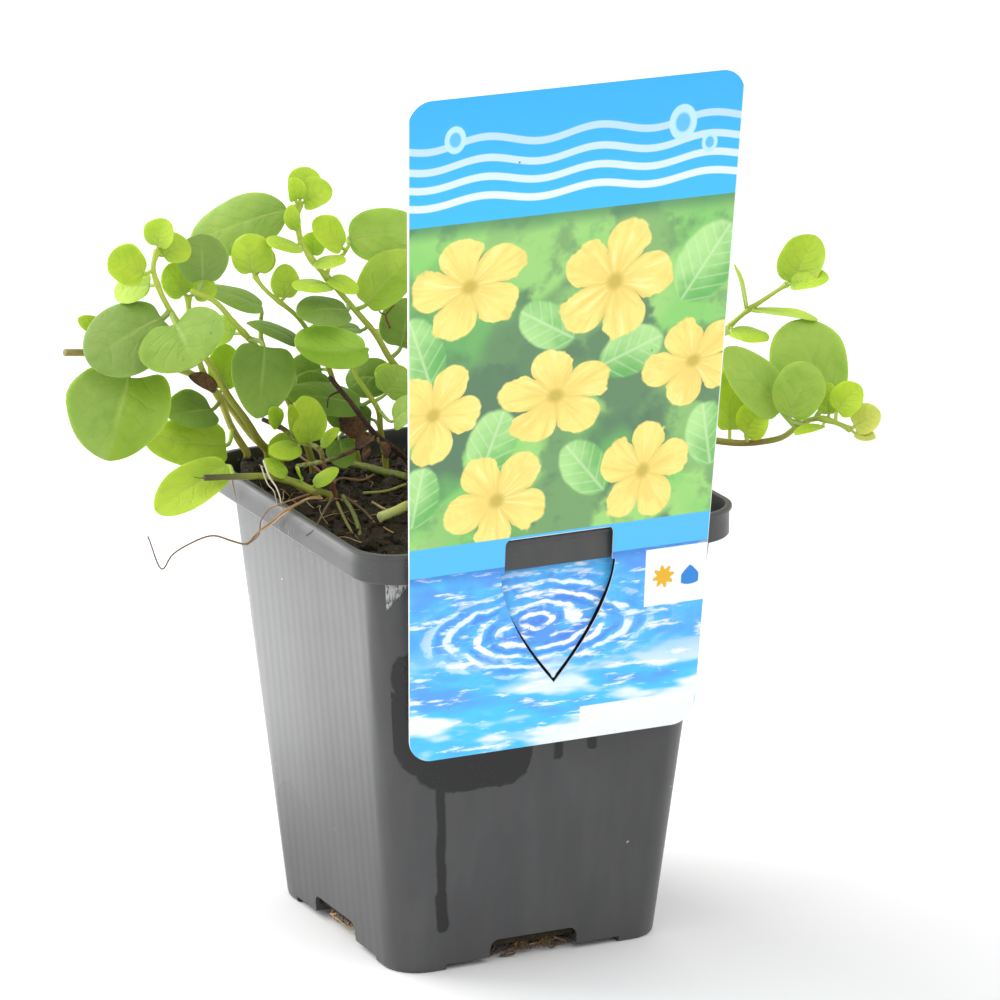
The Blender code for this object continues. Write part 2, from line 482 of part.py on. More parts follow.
def make_soil(parts, cutters):
    low_half = wall_half(FLOOR_TOP_Z) - WALL_THICKNESS - GAP
    high_z = POT_HEIGHT + 2.0
    high_half = low_half + (wall_half(high_z) - wall_half(FLOOR_TOP_Z))
    soil = block("soil", parts, (low_half,) * 2, (high_half,) * 2, FLOOR_TOP_Z + GAP, high_z,
                 WALL_RADIUS - WALL_THICKNESS)
    bm = bmesh.new()
    bmesh.ops.create_grid(bm, x_segments=SOIL_TOP_CELLS, y_segments=SOIL_TOP_CELLS,
                          size=(high_half + 4.0) * MM)
    for vertex in bm.verts:
        vertex.co.z = soil_height(vertex.co.x / MM, vertex.co.y / MM) * MM
    air = add_object("air_over_soil", mesh_from(bm, "air_over_soil"), cutters)
    thick = air.modifiers.new("Up", 'SOLIDIFY')
    thick.thickness = 20.0 * MM
    thick.offset = 1.0
    boolean(soil, make_cutter(air), 'DIFFERENCE')
    return finish_part(soil)


def card_frame():
    """Places a point of the card's plane: across, up and proud, in millimetres."""
    across = Vector((1.0, 0.0, 0.0))
    up = Vector((0.0, -math.sin(CARD_LEAN), math.cos(CARD_LEAN)))
    proud = across.cross(up)
    frame = Matrix((across, up, proud)).transposed().to_4x4()
    frame.translation = Vector(CARD_PASS) * MM
    return frame


def card_outline():
    """The card's rounded outline, narrower at its foot."""
    corners = ((CARD_MIDDLE - CARD_BOTTOM_HALF, CARD_BOTTOM),
               (CARD_MIDDLE + CARD_BOTTOM_HALF, CARD_BOTTOM),
               (CARD_MIDDLE + CARD_TOP_HALF, CARD_TOP),
               (CARD_MIDDLE - CARD_TOP_HALF, CARD_TOP))
    points = []
    for index, (x, y) in enumerate(corners):
        side_x = 1 if x < CARD_MIDDLE else -1
        side_y = 1 if y < 0 else -1
        centre = (x + side_x * CARD_CORNER, y + side_y * CARD_CORNER)
        first = math.radians(180 + 90 * index)
        for step in range(CARD_CORNER_STEPS + 1):
            turn = first + math.radians(90) * step / CARD_CORNER_STEPS
            points.append((centre[0] + CARD_CORNER * math.cos(turn),
                           centre[1] + CARD_CORNER * math.sin(turn)))
    return points


def shield_half(up):
    """Half the tongue's width at a height in the card's plane."""
    down = (SHOULDER - up) / (SHOULDER - SHIELD_TIP)
    if down <= 0:
        return SHIELD_HALF
    return SHIELD_HALF * (1 - min(down, 1.0) ** SHIELD_POWER)


def window_outline():
    """The hole that the tongue is folded out of: a window over a shield."""
    right = [(WINDOW_HALF, WINDOW_TOP), (WINDOW_HALF, SHOULDER)]
    for step in range(SHIELD_STEPS):
        up = SHOULDER + (SHIELD_TIP - SHOULDER) * step / SHIELD_STEPS
        right.append((shield_half(up), up))
    left = [(-x, y) for x, y in reversed(right)]
    points = right + [(0.0, SHIELD_TIP)] + left
    return [(WINDOW_MIDDLE + x, y) for x, y in points]


def spline_outline(data, points):
    spline = data.splines.new('POLY')
    spline.points.add(len(points) - 1)
    for point, (x, y) in zip(spline.points, points):
        point.co = (x * MM, y * MM, 0.0, 1.0)
    spline.use_cyclic_u = True


def mesh_of_curve(item, group):
    """The curve object as a closed mesh object, which takes its place."""
    bpy.context.view_layer.update()
    graph = bpy.context.evaluated_depsgraph_get()
    mesh = bpy.data.meshes.new_from_object(item.evaluated_get(graph))
    name = item.name
    matrix = item.matrix_world.copy()
    bpy.data.objects.remove(item, do_unlink=True)
    bm = bmesh.new()
    bm.from_mesh(mesh)
    bmesh.ops.remove_doubles(bm, verts=bm.verts, dist=0.00001)
    bmesh.ops.recalc_face_normals(bm, faces=bm.faces)
    bm.to_mesh(mesh)
    bm.free()
    mesh.name = name
    solid = add_object(name, mesh, group)
    solid.matrix_world = matrix
    return solid


def make_label(parts, cutters):
    data = bpy.data.curves.new("label", 'CURVE')
    data.dimensions = '2D'
    data.fill_mode = 'BOTH'
    data.extrude = CARD_THICKNESS / 2 * MM
    spline_outline(data, card_outline())
    spline_outline(data, window_outline())
    sheet = add_object("label", data, parts)
    sheet.matrix_world = card_frame()
    label = mesh_of_curve(sheet, parts)
    boolean(label, make_cutter(make_tongue(cutters)), 'UNION')
    return finish_part(label)


def make_tongue(cutters):
    """The card's tongue: over the collar, down through the slot, and in front of the wall."""
    last = len(TONGUE_ROUTE) - 1
    lengths = [0.0]
    for start, end in zip(TONGUE_ROUTE, TONGUE_ROUTE[1:]):
        lengths.append(lengths[-1] + math.dist(start, end))
    bm = bmesh.new()
    bmesh.ops.create_grid(bm, x_segments=last, y_segments=1, size=1.0)
    for vertex in bm.verts:
        index = round((vertex.co.x + 1) / 2 * last)
        up = WINDOW_TOP - lengths[index] * (WINDOW_TOP - SHIELD_TIP) / lengths[last]
        half = (min(WINDOW_HALF, shield_half(up)) if up > SHOULDER else shield_half(up))
        half = max(half - TONGUE_TRIM, 0.4)
        y, z = TONGUE_ROUTE[index]
        vertex.co = Vector((WINDOW_MIDDLE + vertex.co.y * half, y, z)) * MM
    tongue = add_object("tongue", mesh_from(bm, "tongue"), cutters)
    thick = tongue.modifiers.new("Thickness", 'SOLIDIFY')
    thick.thickness = CARD_THICKNESS * MM
    thick.offset = 0.0
    thick.use_even_offset = True
    return tongue


def view_axes():
    """The view's directions: right, up and towards the viewer."""
    toward = Vector((math.sin(VIEW_TURN) * math.cos(VIEW_RISE),
                     -math.cos(VIEW_TURN) * math.cos(VIEW_RISE), math.sin(VIEW_RISE)))
    right = Vector((0.0, 0.0, 1.0)).cross(toward).normalized()
    return right, toward.cross(right), toward


RIGHT, UP, TOWARD = view_axes()


def seen(point):
    """A place of the view, from millimetres across, up and nearer, in the pot's axes."""
    across, up, near = point
    spread = 1 - near / VIEW_DISTANCE
    return VIEW_CENTRE + (RIGHT * across + UP * up) * spread + TOWARD * near


def facing(direction):
    across, up, near = direction
    return RIGHT * across + UP * up + TOWARD * near


def smooth(points, step):
    """Points about a step apart on the smooth curve through the given points."""
    gaps = [(end - start).length for start, end in zip(points, points[1:])]
    runs = [(end - start) / gap for start, end, gap in zip(points, points[1:], gaps)]
    slopes = [runs[0]]
    for index in range(1, len(gaps)):
        before, after = gaps[index - 1:index + 1]
        slopes.append((runs[index - 1] * after + runs[index] * before) / (before + after))
    slopes.append(runs[-1])
    route = []
    for index, gap in enumerate(gaps):
        pieces = max(1, round(gap / step))
        for piece in range(pieces):
            t = piece / pieces
            ease = t * t * (3 - 2 * t)
            route.append(points[index].lerp(points[index + 1], ease)
                         + slopes[index] * gap * t * (1 - t) ** 2
                         - slopes[index + 1] * gap * t ** 2 * (1 - t))
    return route + [points[-1]]


def tube(name, group, route, radii):
    """A tapering round stem along a route in millimetres."""
    data = bpy.data.curves.new(name, 'CURVE')
    data.dimensions = '3D'
    data.fill_mode = 'FULL'
    data.bevel_depth = MM
    data.bevel_resolution = STEM_SIDES_LEVEL
    data.use_fill_caps = True
    spline = data.splines.new('POLY')
    spline.points.add(len(route) - 1)
    last = len(route) - 1
    for index, place in enumerate(route):
        spline.points[index].co = (*(place * MM), 1.0)
        spline.points[index].radius = radii[0] + (radii[1] - radii[0]) * index / last
    return mesh_of_curve(add_object(name, data, group), group)


def rooted(points, radius):
    """A stem's route with its foot moved down to lie just clear of the soil."""
    foot = points[0].copy()
    foot.z = soil_height(foot.x, foot.y) + radius + GAP
    return [foot] + list(points[1:])


def nearest(routes, place):
    """The place nearest to the given one on any of the routes, the stem's end included."""
    best = None
    for route in routes:
        for start, end in zip(route, route[1:]):
            run = end - start
            share = max(0.0, min(1.0, (place - start).dot(run) / run.length_squared))
            found = start + run * share
            if best is None or (found - place).length < (best - place).length:
                best = found
    return best


def inside(node, base):
    """The foot of a fused stalk: just off the stem's middle, so that no two feet meet."""
    return node + (base - node).normalized() * STALK_FOOT


def blade_half(share, tip):
    """Half the blade's width at a share of its length, as a part of its widest half."""
    base = 1 - tip
    return (share / base) ** base * ((1 - share) / tip) ** tip


def blade_point(leaf, share, half_thick, across, side):
    """A point of the blade: share 0 to 1 along it, across and side -1 to 1."""
    half_share = blade_half(share, leaf["tip_shape"])
    half = leaf["width"] / 2 * half_share
    bend = leaf["cup"] * half_share
    if abs(bend) > 0.01:
        reach = half * math.sin(bend * across) / bend
        lift = half * (1 - math.cos(bend * across)) / bend
    else:
        reach, lift = half * across, 0.0
    back = LOBE * leaf["width"] * across ** 2 * (1 - share) ** 4
    lift += leaf["arch"] * 4 * share * (1 - share) + half_thick * side
    return (leaf["base"] + leaf["forward"] * (leaf["length"] * share - back)
            + leaf["sideways"] * reach + leaf["normal"] * lift)


def stalk_ring(leaf, middle, along, turn, half):
    """A point of the round stalk about middle, square to the way it runs."""
    sideways = leaf["sideways"] - along * leaf["sideways"].dot(along)
    if sideways.length < 0.3:
        sideways = leaf["normal"] - along * leaf["normal"].dot(along)
    sideways.normalize()
    normal = along.cross(sideways)
    return middle + (sideways * math.cos(turn) + normal * math.sin(turn)) * half


def leaf_mesh(name, leaf, stations, sides, stalk_half):
    """A flattened globe drawn out into a stalk, a blade and a tip."""
    rings = len(stations) + 3
    stalk = (leaf["base"] - leaf["start"]).normalized()
    bm = bmesh.new()
    bmesh.ops.create_uvsphere(bm, u_segments=sides, v_segments=rings, radius=1.0)
    for vertex in bm.verts:
        ring = round(math.acos(max(-1.0, min(1.0, vertex.co.z))) * rings / math.pi)
        turn = math.atan2(vertex.co.x, vertex.co.y)
        if ring == 0:
            place = leaf["start"]
        elif ring == 1:
            place = stalk_ring(leaf, leaf["start"], stalk, turn, stalk_half)
        elif ring == 2:
            bend = (stalk + leaf["forward"]).normalized()
            place = stalk_ring(leaf, leaf["base"], bend, turn, stalk_half)
        elif ring == rings:
            place = leaf["tip"]
        else:
            share, half_thick = stations[ring - 3]
            place = blade_point(leaf, share, half_thick, math.cos(turn), math.sin(turn))
        vertex.co = place * MM
    return mesh_from(bm, name)


def leaf_frame(base, tip, width, face, cup, arch, start, tip_shape=ROUND_TIP):
    """The leaf's own directions, from its base, its tip and the way it faces."""
    forward = (tip - base).normalized()
    normal = (face - forward * face.dot(forward)).normalized()
    return {"base": base, "tip": tip, "start": start, "width": width, "cup": math.radians(cup),
            "arch": arch, "length": (tip - base).length, "forward": forward, "normal": normal,
            "sideways": normal.cross(forward), "tip_shape": tip_shape}


def make_stem(name, radii, routes, young, group, cutters):
    """One stem with its side twigs and its small leaves, all one body."""
    stem = tube(name, group, routes[0], radii)
    for index, route in enumerate(routes[1:]):
        twig = tube("%s_twig_%d" % (name, index), cutters, route, (radii[1], radii[1] * 0.8))
        boolean(stem, make_cutter(twig), 'UNION')
    for index, leaf in enumerate(young):
        label = "%s_leaf_%d" % (name, index)
        mesh = leaf_mesh(label, leaf, YOUNG_STATIONS, FUSED_LEAF_SIDES, FUSED_STALK_HALF)
        boolean(stem, make_cutter(add_object(label, mesh, cutters)), 'UNION')
    return finish_part(stem)


def pairs_of(name, route):
    """The opposite pairs of a hidden stem, each turned a quarter from the last."""
    total = len(route) - 1
    leaves = []
    for share, turn, length in BACK_PAIRS[name]:
        index = min(total - 1, int(share * total))
        node = route[index].lerp(route[index + 1], share * total - index)
        along = (route[index + 1] - route[index]).normalized()
        first = along.orthogonal().normalized()
        first.rotate(Matrix.Rotation(math.radians(turn), 3, along))
        for outward in (first, -first):
            reach = (outward * PAIR_SPREAD + along * (1 - PAIR_SPREAD)
                     + Vector((0, 0, 0.12))).normalized()
            base = node + reach * PAIR_STALK
            leaves.append(leaf_frame(base, base + reach * length, length * PAIR_WIDTH, along,
                                     PAIR_CUP, PAIR_ARCH, inside(node, base)))
    return leaves


def make_plant(parts, cutters):
    routes = {}
    for name, (low, high, main, *twigs) in STEMS.items():
        routes[name] = [smooth(rooted([seen(p) for p in main], low), STEM_STEP)]
        routes[name] += [smooth([seen(p) for p in twig], STEM_STEP) for twig in twigs]
        young = []
        for stem, base, tip, width, face, cup, arch in YOUNG_LEAVES:
            if stem == name:
                start = inside(nearest(routes[name], seen(base)), seen(base))
                leaf = leaf_frame(seen(base), seen(tip), width, facing(face), cup, arch, start)
                young.append(leaf)
        make_stem(name, (low, high), routes[name], young, parts, cutters)
    for name, (low, high, main) in BACK_STEMS.items():
        route = smooth(rooted([Vector(p) for p in main], low), STEM_STEP)
        make_stem(name, (low, high), [route], pairs_of(name, route), parts, cutters)
    for name, stem, base, tip, width, face, cup, arch, tip_shape in OWN_LEAVES:
        place = seen(base)
        node = nearest(routes[stem], place)
        radius = STEMS[stem][0]
        start = node + (place - node).normalized() * (radius + GAP + STALK_HALF)
        leaf = leaf_frame(place, seen(tip), width, facing(face), cup, arch, start, tip_shape)
        mesh = leaf_mesh(name, leaf, BLADE_STATIONS, OWN_LEAF_SIDES, STALK_HALF)
        finish_part(add_object(name, mesh, parts))


def make_root(parts):
    route = smooth([seen(p) for p in ROOT_ROUTE], STEM_STEP)
    return finish_part(tube("hanging_root", parts, route, ROOT_RADII))


def main():
    clear_scene()
    parts = collection("potted_creeping_jenny")
    cutters = collection("cutters")
    make_pot(parts, cutters)
    make_soil(parts, cutters)
    make_label(parts, cutters)
    make_plant(parts, cutters)
    make_root(parts)


main()
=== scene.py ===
"""Looks of a creeping jenny in a square nursery pot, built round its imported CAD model.

Lengths in the tables are millimetres and become metres through MM. +Z is up, and the label is on
the -Y side. The routes of the stems, leaves, root and card repeat those of the CAD source, which
this script can't read. Each fine piece stands for the CAD node whose name it begins with.
"""
import math

import bmesh
import bpy
import numpy as np
from bpy.props import FloatProperty, FloatVectorProperty, IntProperty, PointerProperty
from mathutils import Matrix, Vector, noise


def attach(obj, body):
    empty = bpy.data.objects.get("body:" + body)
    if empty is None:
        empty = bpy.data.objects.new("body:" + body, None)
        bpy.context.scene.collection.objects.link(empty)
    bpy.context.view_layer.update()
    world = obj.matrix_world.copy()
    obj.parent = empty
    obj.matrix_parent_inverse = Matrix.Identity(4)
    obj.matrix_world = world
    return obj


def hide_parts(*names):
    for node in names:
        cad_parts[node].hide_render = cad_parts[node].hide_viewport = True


bl_info = {
    "name": "Potted creeping jenny",
    "version": (1, 0, 0),
    "blender": (4, 5, 0),
    "location": "View3D > Sidebar > Plant",
    "description": "Builds the looks of a potted creeping jenny with its hanging label",
    "category": "Add Mesh",
}

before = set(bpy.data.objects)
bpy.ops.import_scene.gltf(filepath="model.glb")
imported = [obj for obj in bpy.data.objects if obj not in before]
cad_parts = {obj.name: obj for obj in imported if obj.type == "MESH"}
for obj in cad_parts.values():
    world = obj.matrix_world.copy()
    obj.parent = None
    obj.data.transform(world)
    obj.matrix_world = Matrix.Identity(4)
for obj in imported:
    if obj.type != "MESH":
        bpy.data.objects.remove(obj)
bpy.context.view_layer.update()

MM = 0.001

# The photograph's view: turn and rise of the camera, its roll, distance, lens and aim
VIEW_TURN = math.radians(-25.87)
VIEW_RISE = math.radians(16.57)
VIEW_ROLL = math.radians(0.25)
VIEW_CENTRE = Vector((7.23, 0.0, 94.42))
VIEW_DISTANCE = 1515.75
VIEW_LENS = 248.84
VIEW_SENSOR = 36.0

# Pot
COLLAR_BASE_Z = 93.0
WALL_TOP_HALF = 41.1
WALL_BASE_HALF = 32.4
WALL_RADIUS = 8.0
WALL_THICKNESS = 1.0
FLOOR_TOP_Z = 3.0
FOOT_HEIGHT = 1.4
FOOT_GAP_WIDTH = 42.0
DRAIN_WIDTH = 21.0
DRAIN_TOP_Z = 5.4
DRAIN_DEPTH = 6.0
SLOT_WIDTH = 28.5
SLOT_MIDDLE_Y = -42.3
SLOT_DEPTH = 2.3
# How far a cutter stands past what it cuts
OVERCUT = 2.0
# The outer foot, then the ledge, collar and lip from the outer wall over the rim to the inner
# wall: half width, height and corner radius
FOOT_PROFILE = ((20.0, 0.0, 6.0), (31.7, 0.0, 7.4), (32.1, 0.08, 7.8), (32.38, 0.4, 8.0))
RIM_PROFILE = (
    (41.0, 92.2, 8.0), (41.15, 92.7, 8.1), (41.5, 92.95, 8.3), (42.2, 93.0, 8.8),
    (44.0, 93.0, 9.7), (44.4, 93.1, 9.9), (44.6, 93.4, 10.0), (44.6, 94.5, 10.0),
    (44.6, 96.5, 10.0), (44.6, 98.4, 10.0), (44.7, 98.75, 10.0), (44.95, 98.9, 10.0),
    (45.0, 99.15, 10.0), (45.0, 99.45, 10.0), (44.9, 99.7, 9.95), (44.65, 99.8, 9.9),
    (43.95, 99.8, 9.3), (43.7, 99.7, 9.1), (43.6, 99.4, 9.0), (43.6, 97.0, 9.0),
    (43.6, 94.4, 9.0), (43.45, 94.1, 8.9), (43.1, 94.0, 8.7), (40.5, 94.0, 7.3),
    (40.2, 93.9, 7.1), (40.1, 93.6, 7.0),
)
FLOOR_PROFILE = ((31.2, FLOOR_TOP_Z, 6.5), (16.0, FLOOR_TOP_Z, 5.0))

# Soil, and the gap between it and the pot or a stem's foot
GAP = 0.3
SOIL_LEVEL = 95.0
SOIL_CORNER = 7
SOIL_STEPS = (16, 30)
LEDGE_CRUMBS = 460
NOTCH_FIBRES = 16
SOIL_HEAPS = (
    (-37.0, 37.0, 4.2, 6.5),
    (36.0, -35.0, 4.6, 7.0),
    (4.0, 14.0, 1.5, 16.0),
    (-30.0, -28.0, -1.2, 12.0),
)

# Label card, in its own plane: across and up from the point where it passes the collar
CARD_LEAN = math.radians(4.0)
CARD_PASS = (0.0, -45.95, 95.0)
CARD_MIDDLE = -0.85
CARD_TOP = 105.0
CARD_BOTTOM = -42.5
CARD_TOP_HALF = 39.2
CARD_BOTTOM_HALF = 34.2
CARD_CORNER = 5.5
CARD_CORNER_STEPS = 14
WINDOW_MIDDLE = -1.1
WINDOW_TOP = 5.65
WINDOW_HALF = 12.8
WINDOW_CORNER = 1.4
SHOULDER = -1.9
SHIELD_HALF = 13.6
SHIELD_TIP = -28.5
SHIELD_POWER = 1.7
SHIELD_STEPS = 30
# How far the printed card's edge moves in for each millimetre down
CARD_TAPER = 0.0339
TONGUE_TRIM = 0.25
TONGUE_ROUTE = (
    (-46.35, 100.65),
    (-45.5, 100.75),
    (-43.9, 100.7),
    (-43.0, 100.1),
    (-42.65, 97.5),
    (-42.45, 93.0),
    (-42.2, 88.5),
    (-42.2, 83.0),
    (-42.6, 76.0),
    (-42.7, 71.0),
    (-42.6, 67.6),
)

# Plant
LOBE = 0.16
ROUND_TIP = 0.55

# Visible stems: lower and upper radius, the route, then the routes of side twigs. A place is
# across, up and nearer in the view, and a route starts at the soil.
STEMS = {
    "stem_left_high": (0.95, 0.6, (
        (-48.2, 4.8, -13), (-52.2, 12, -9), (-55.9, 17.5, -5), (-59.2, 21.9, -2),
        (-62.5, 27.4, 2), (-65.8, 32.5, 6), (-70.6, 38.4, 10), (-75, 46.1, 13),
        (-76.3, 50.9, 14), (-75.4, 54.4, 14))),
    "stem_left_inner": (0.95, 0.6, (
        (-55.5, 8.6, -15), (-57, 12.4, -14), (-58.8, 15.4, -12), (-61.8, 22.4, -9),
        (-64.5, 26.3, -6), (-66.7, 31.8, -2), (-68, 36.2, 1), (-68.6, 44.3, 2))),
    "stem_left_cut": (0.95, 0.9, (
        (-51, 7.5, -17), (-54.5, 14, -18), (-60.5, 21.5, -15), (-66.9, 26.8, -10),
        (-73.5, 29.2, -3), (-83.3, 31.1, 3), (-91.7, 31.9, 9), (-95.6, 31.9, 12))),
    "stem_left_upper": (0.9, 0.65, (
        (-41, 6, -15), (-43.9, 15.4, -12), (-48.2, 25.2, -8), (-52.2, 31.8, -3),
        (-55, 34.9, 0), (-58.8, 39, 4), (-63.2, 43.6, 7), (-68, 45.6, 8)),
        ((-51, 30, -5), (-52.6, 35.5, -6), (-52.6, 39.5, -6))),
    "stem_tall": (0.95, 0.6, (
        (-15.4, 6.6, -18), (-18, 17.5, -12), (-20.8, 26.3, -8), (-24.6, 31.4, -5),
        (-27.4, 36.2, -3), (-30.7, 40.1, -1), (-34, 43.9, 1), (-38.4, 48.9, 3),
        (-41.9, 53.1, 5), (-43.9, 56.6, 6), (-44.7, 61, 7), (-44.5, 64.5, 7)),
        ((-38.4, 48.9, 3), (-37.3, 51.8, 1), (-34.6, 53.7, 0), (-33.3, 55.9, 0))),
    "stem_bud": (0.8, 0.5, (
        (-31, 7, -18), (-34.5, 18, -14), (-38.4, 30.5, -8), (-42, 36.5, -4),
        (-44.6, 40, 0), (-47.4, 42.4, 3), (-50.4, 44.7, 5), (-53, 47.4, 7), (-54, 49, 7.5))),
    "stem_middle_low": (0.8, 0.6, (
        (-25, 9, -12), (-26.3, 15.5, -7), (-26.8, 19.7, -4), (-29.6, 24, -2),
        (-32, 28.1, -1), (-31.4, 31.2, -1))),
    "stem_old_brown": (0.75, 0.6, (
        (-20, 8, -16), (-22.6, 10.6, -10), (-27.4, 14.3, -3), (-32.5, 20.8, 5),
        (-37.5, 26.8, 10))),
    "stem_old_red": (0.7, 0.6, (
        (-36.2, 1.5, 2), (-38.4, 6.6, 1), (-39.7, 11, 2), (-43.9, 12.7, 3),
        (-47.6, 15.4, 4), (-52.2, 17.5, 5)),
        ((-44.7, 7.2, 2), (-38.8, 8.3, 1.3), (-34, 9.9, 0), (-30.3, 11.6, -2))),
    "stem_runner_left": (1.1, 0.8, (
        (-37.5, 0.2, 4), (-40.5, 1.6, 5.5), (-45, 3.6, 5), (-51, 4.9, 7),
        (-56.8, 4.9, 10), (-64.9, 4.6, 13))),
    "stem_cut_short": (1.1, 1.2, (
        (-17.5, -0.4, 13), (-19.5, -1.1, 15), (-22.5, -2.4, 18), (-26.3, -3.9, 21))),
    "stem_right_high": (0.85, 0.5, (
        (21.9, 8.3, -22), (30.7, 16.4, -22), (41.7, 28.5, -20), (50.4, 38.6, -16),
        (53.1, 41, -14), (58.1, 44.5, -12), (62.7, 47.6, -10))),
    "stem_runner_right": (1.1, 0.55, (
        (26.3, 7.5, -18), (30.5, 12.5, -15.5), (36, 14.8, -12), (47.4, 13.2, -7),
        (52.6, 12.7, -5), (58, 13.1, -3), (61.8, 14, -2), (65.8, 16.9, 0),
        (69.5, 18.2, 2), (73.5, 17.3, 4), (76.8, 15.8, 5))),
}

# Stems of the hidden side, in the pot's own axes: X, Y, Z
BACK_STEMS = {
    "stem_back_left": (0.9, 0.5, (
        (4, 29, 96), (7, 36, 108), (11, 41, 118), (15, 42, 128))),
    "stem_back_right": (0.95, 0.5, (
        (24, 26, 96), (32, 32, 110), (46, 37, 121), (60, 38, 127), (68, 39, 128))),
    "stem_middle_high": (0.95, 0.5, (
        (6, 8, 96), (3, 4, 115), (5, 0, 132), (8, -3, 148))),
    "stem_front_right": (0.9, 0.5, (
        (26, -12, 96), (31, -17, 112), (37, -22, 126), (41, -25, 136))),
    "stem_front_low": (0.85, 0.5, (
        (-3, -18, 96), (-3, -24, 107), (2, -29, 118), (8, -31, 127))),
}

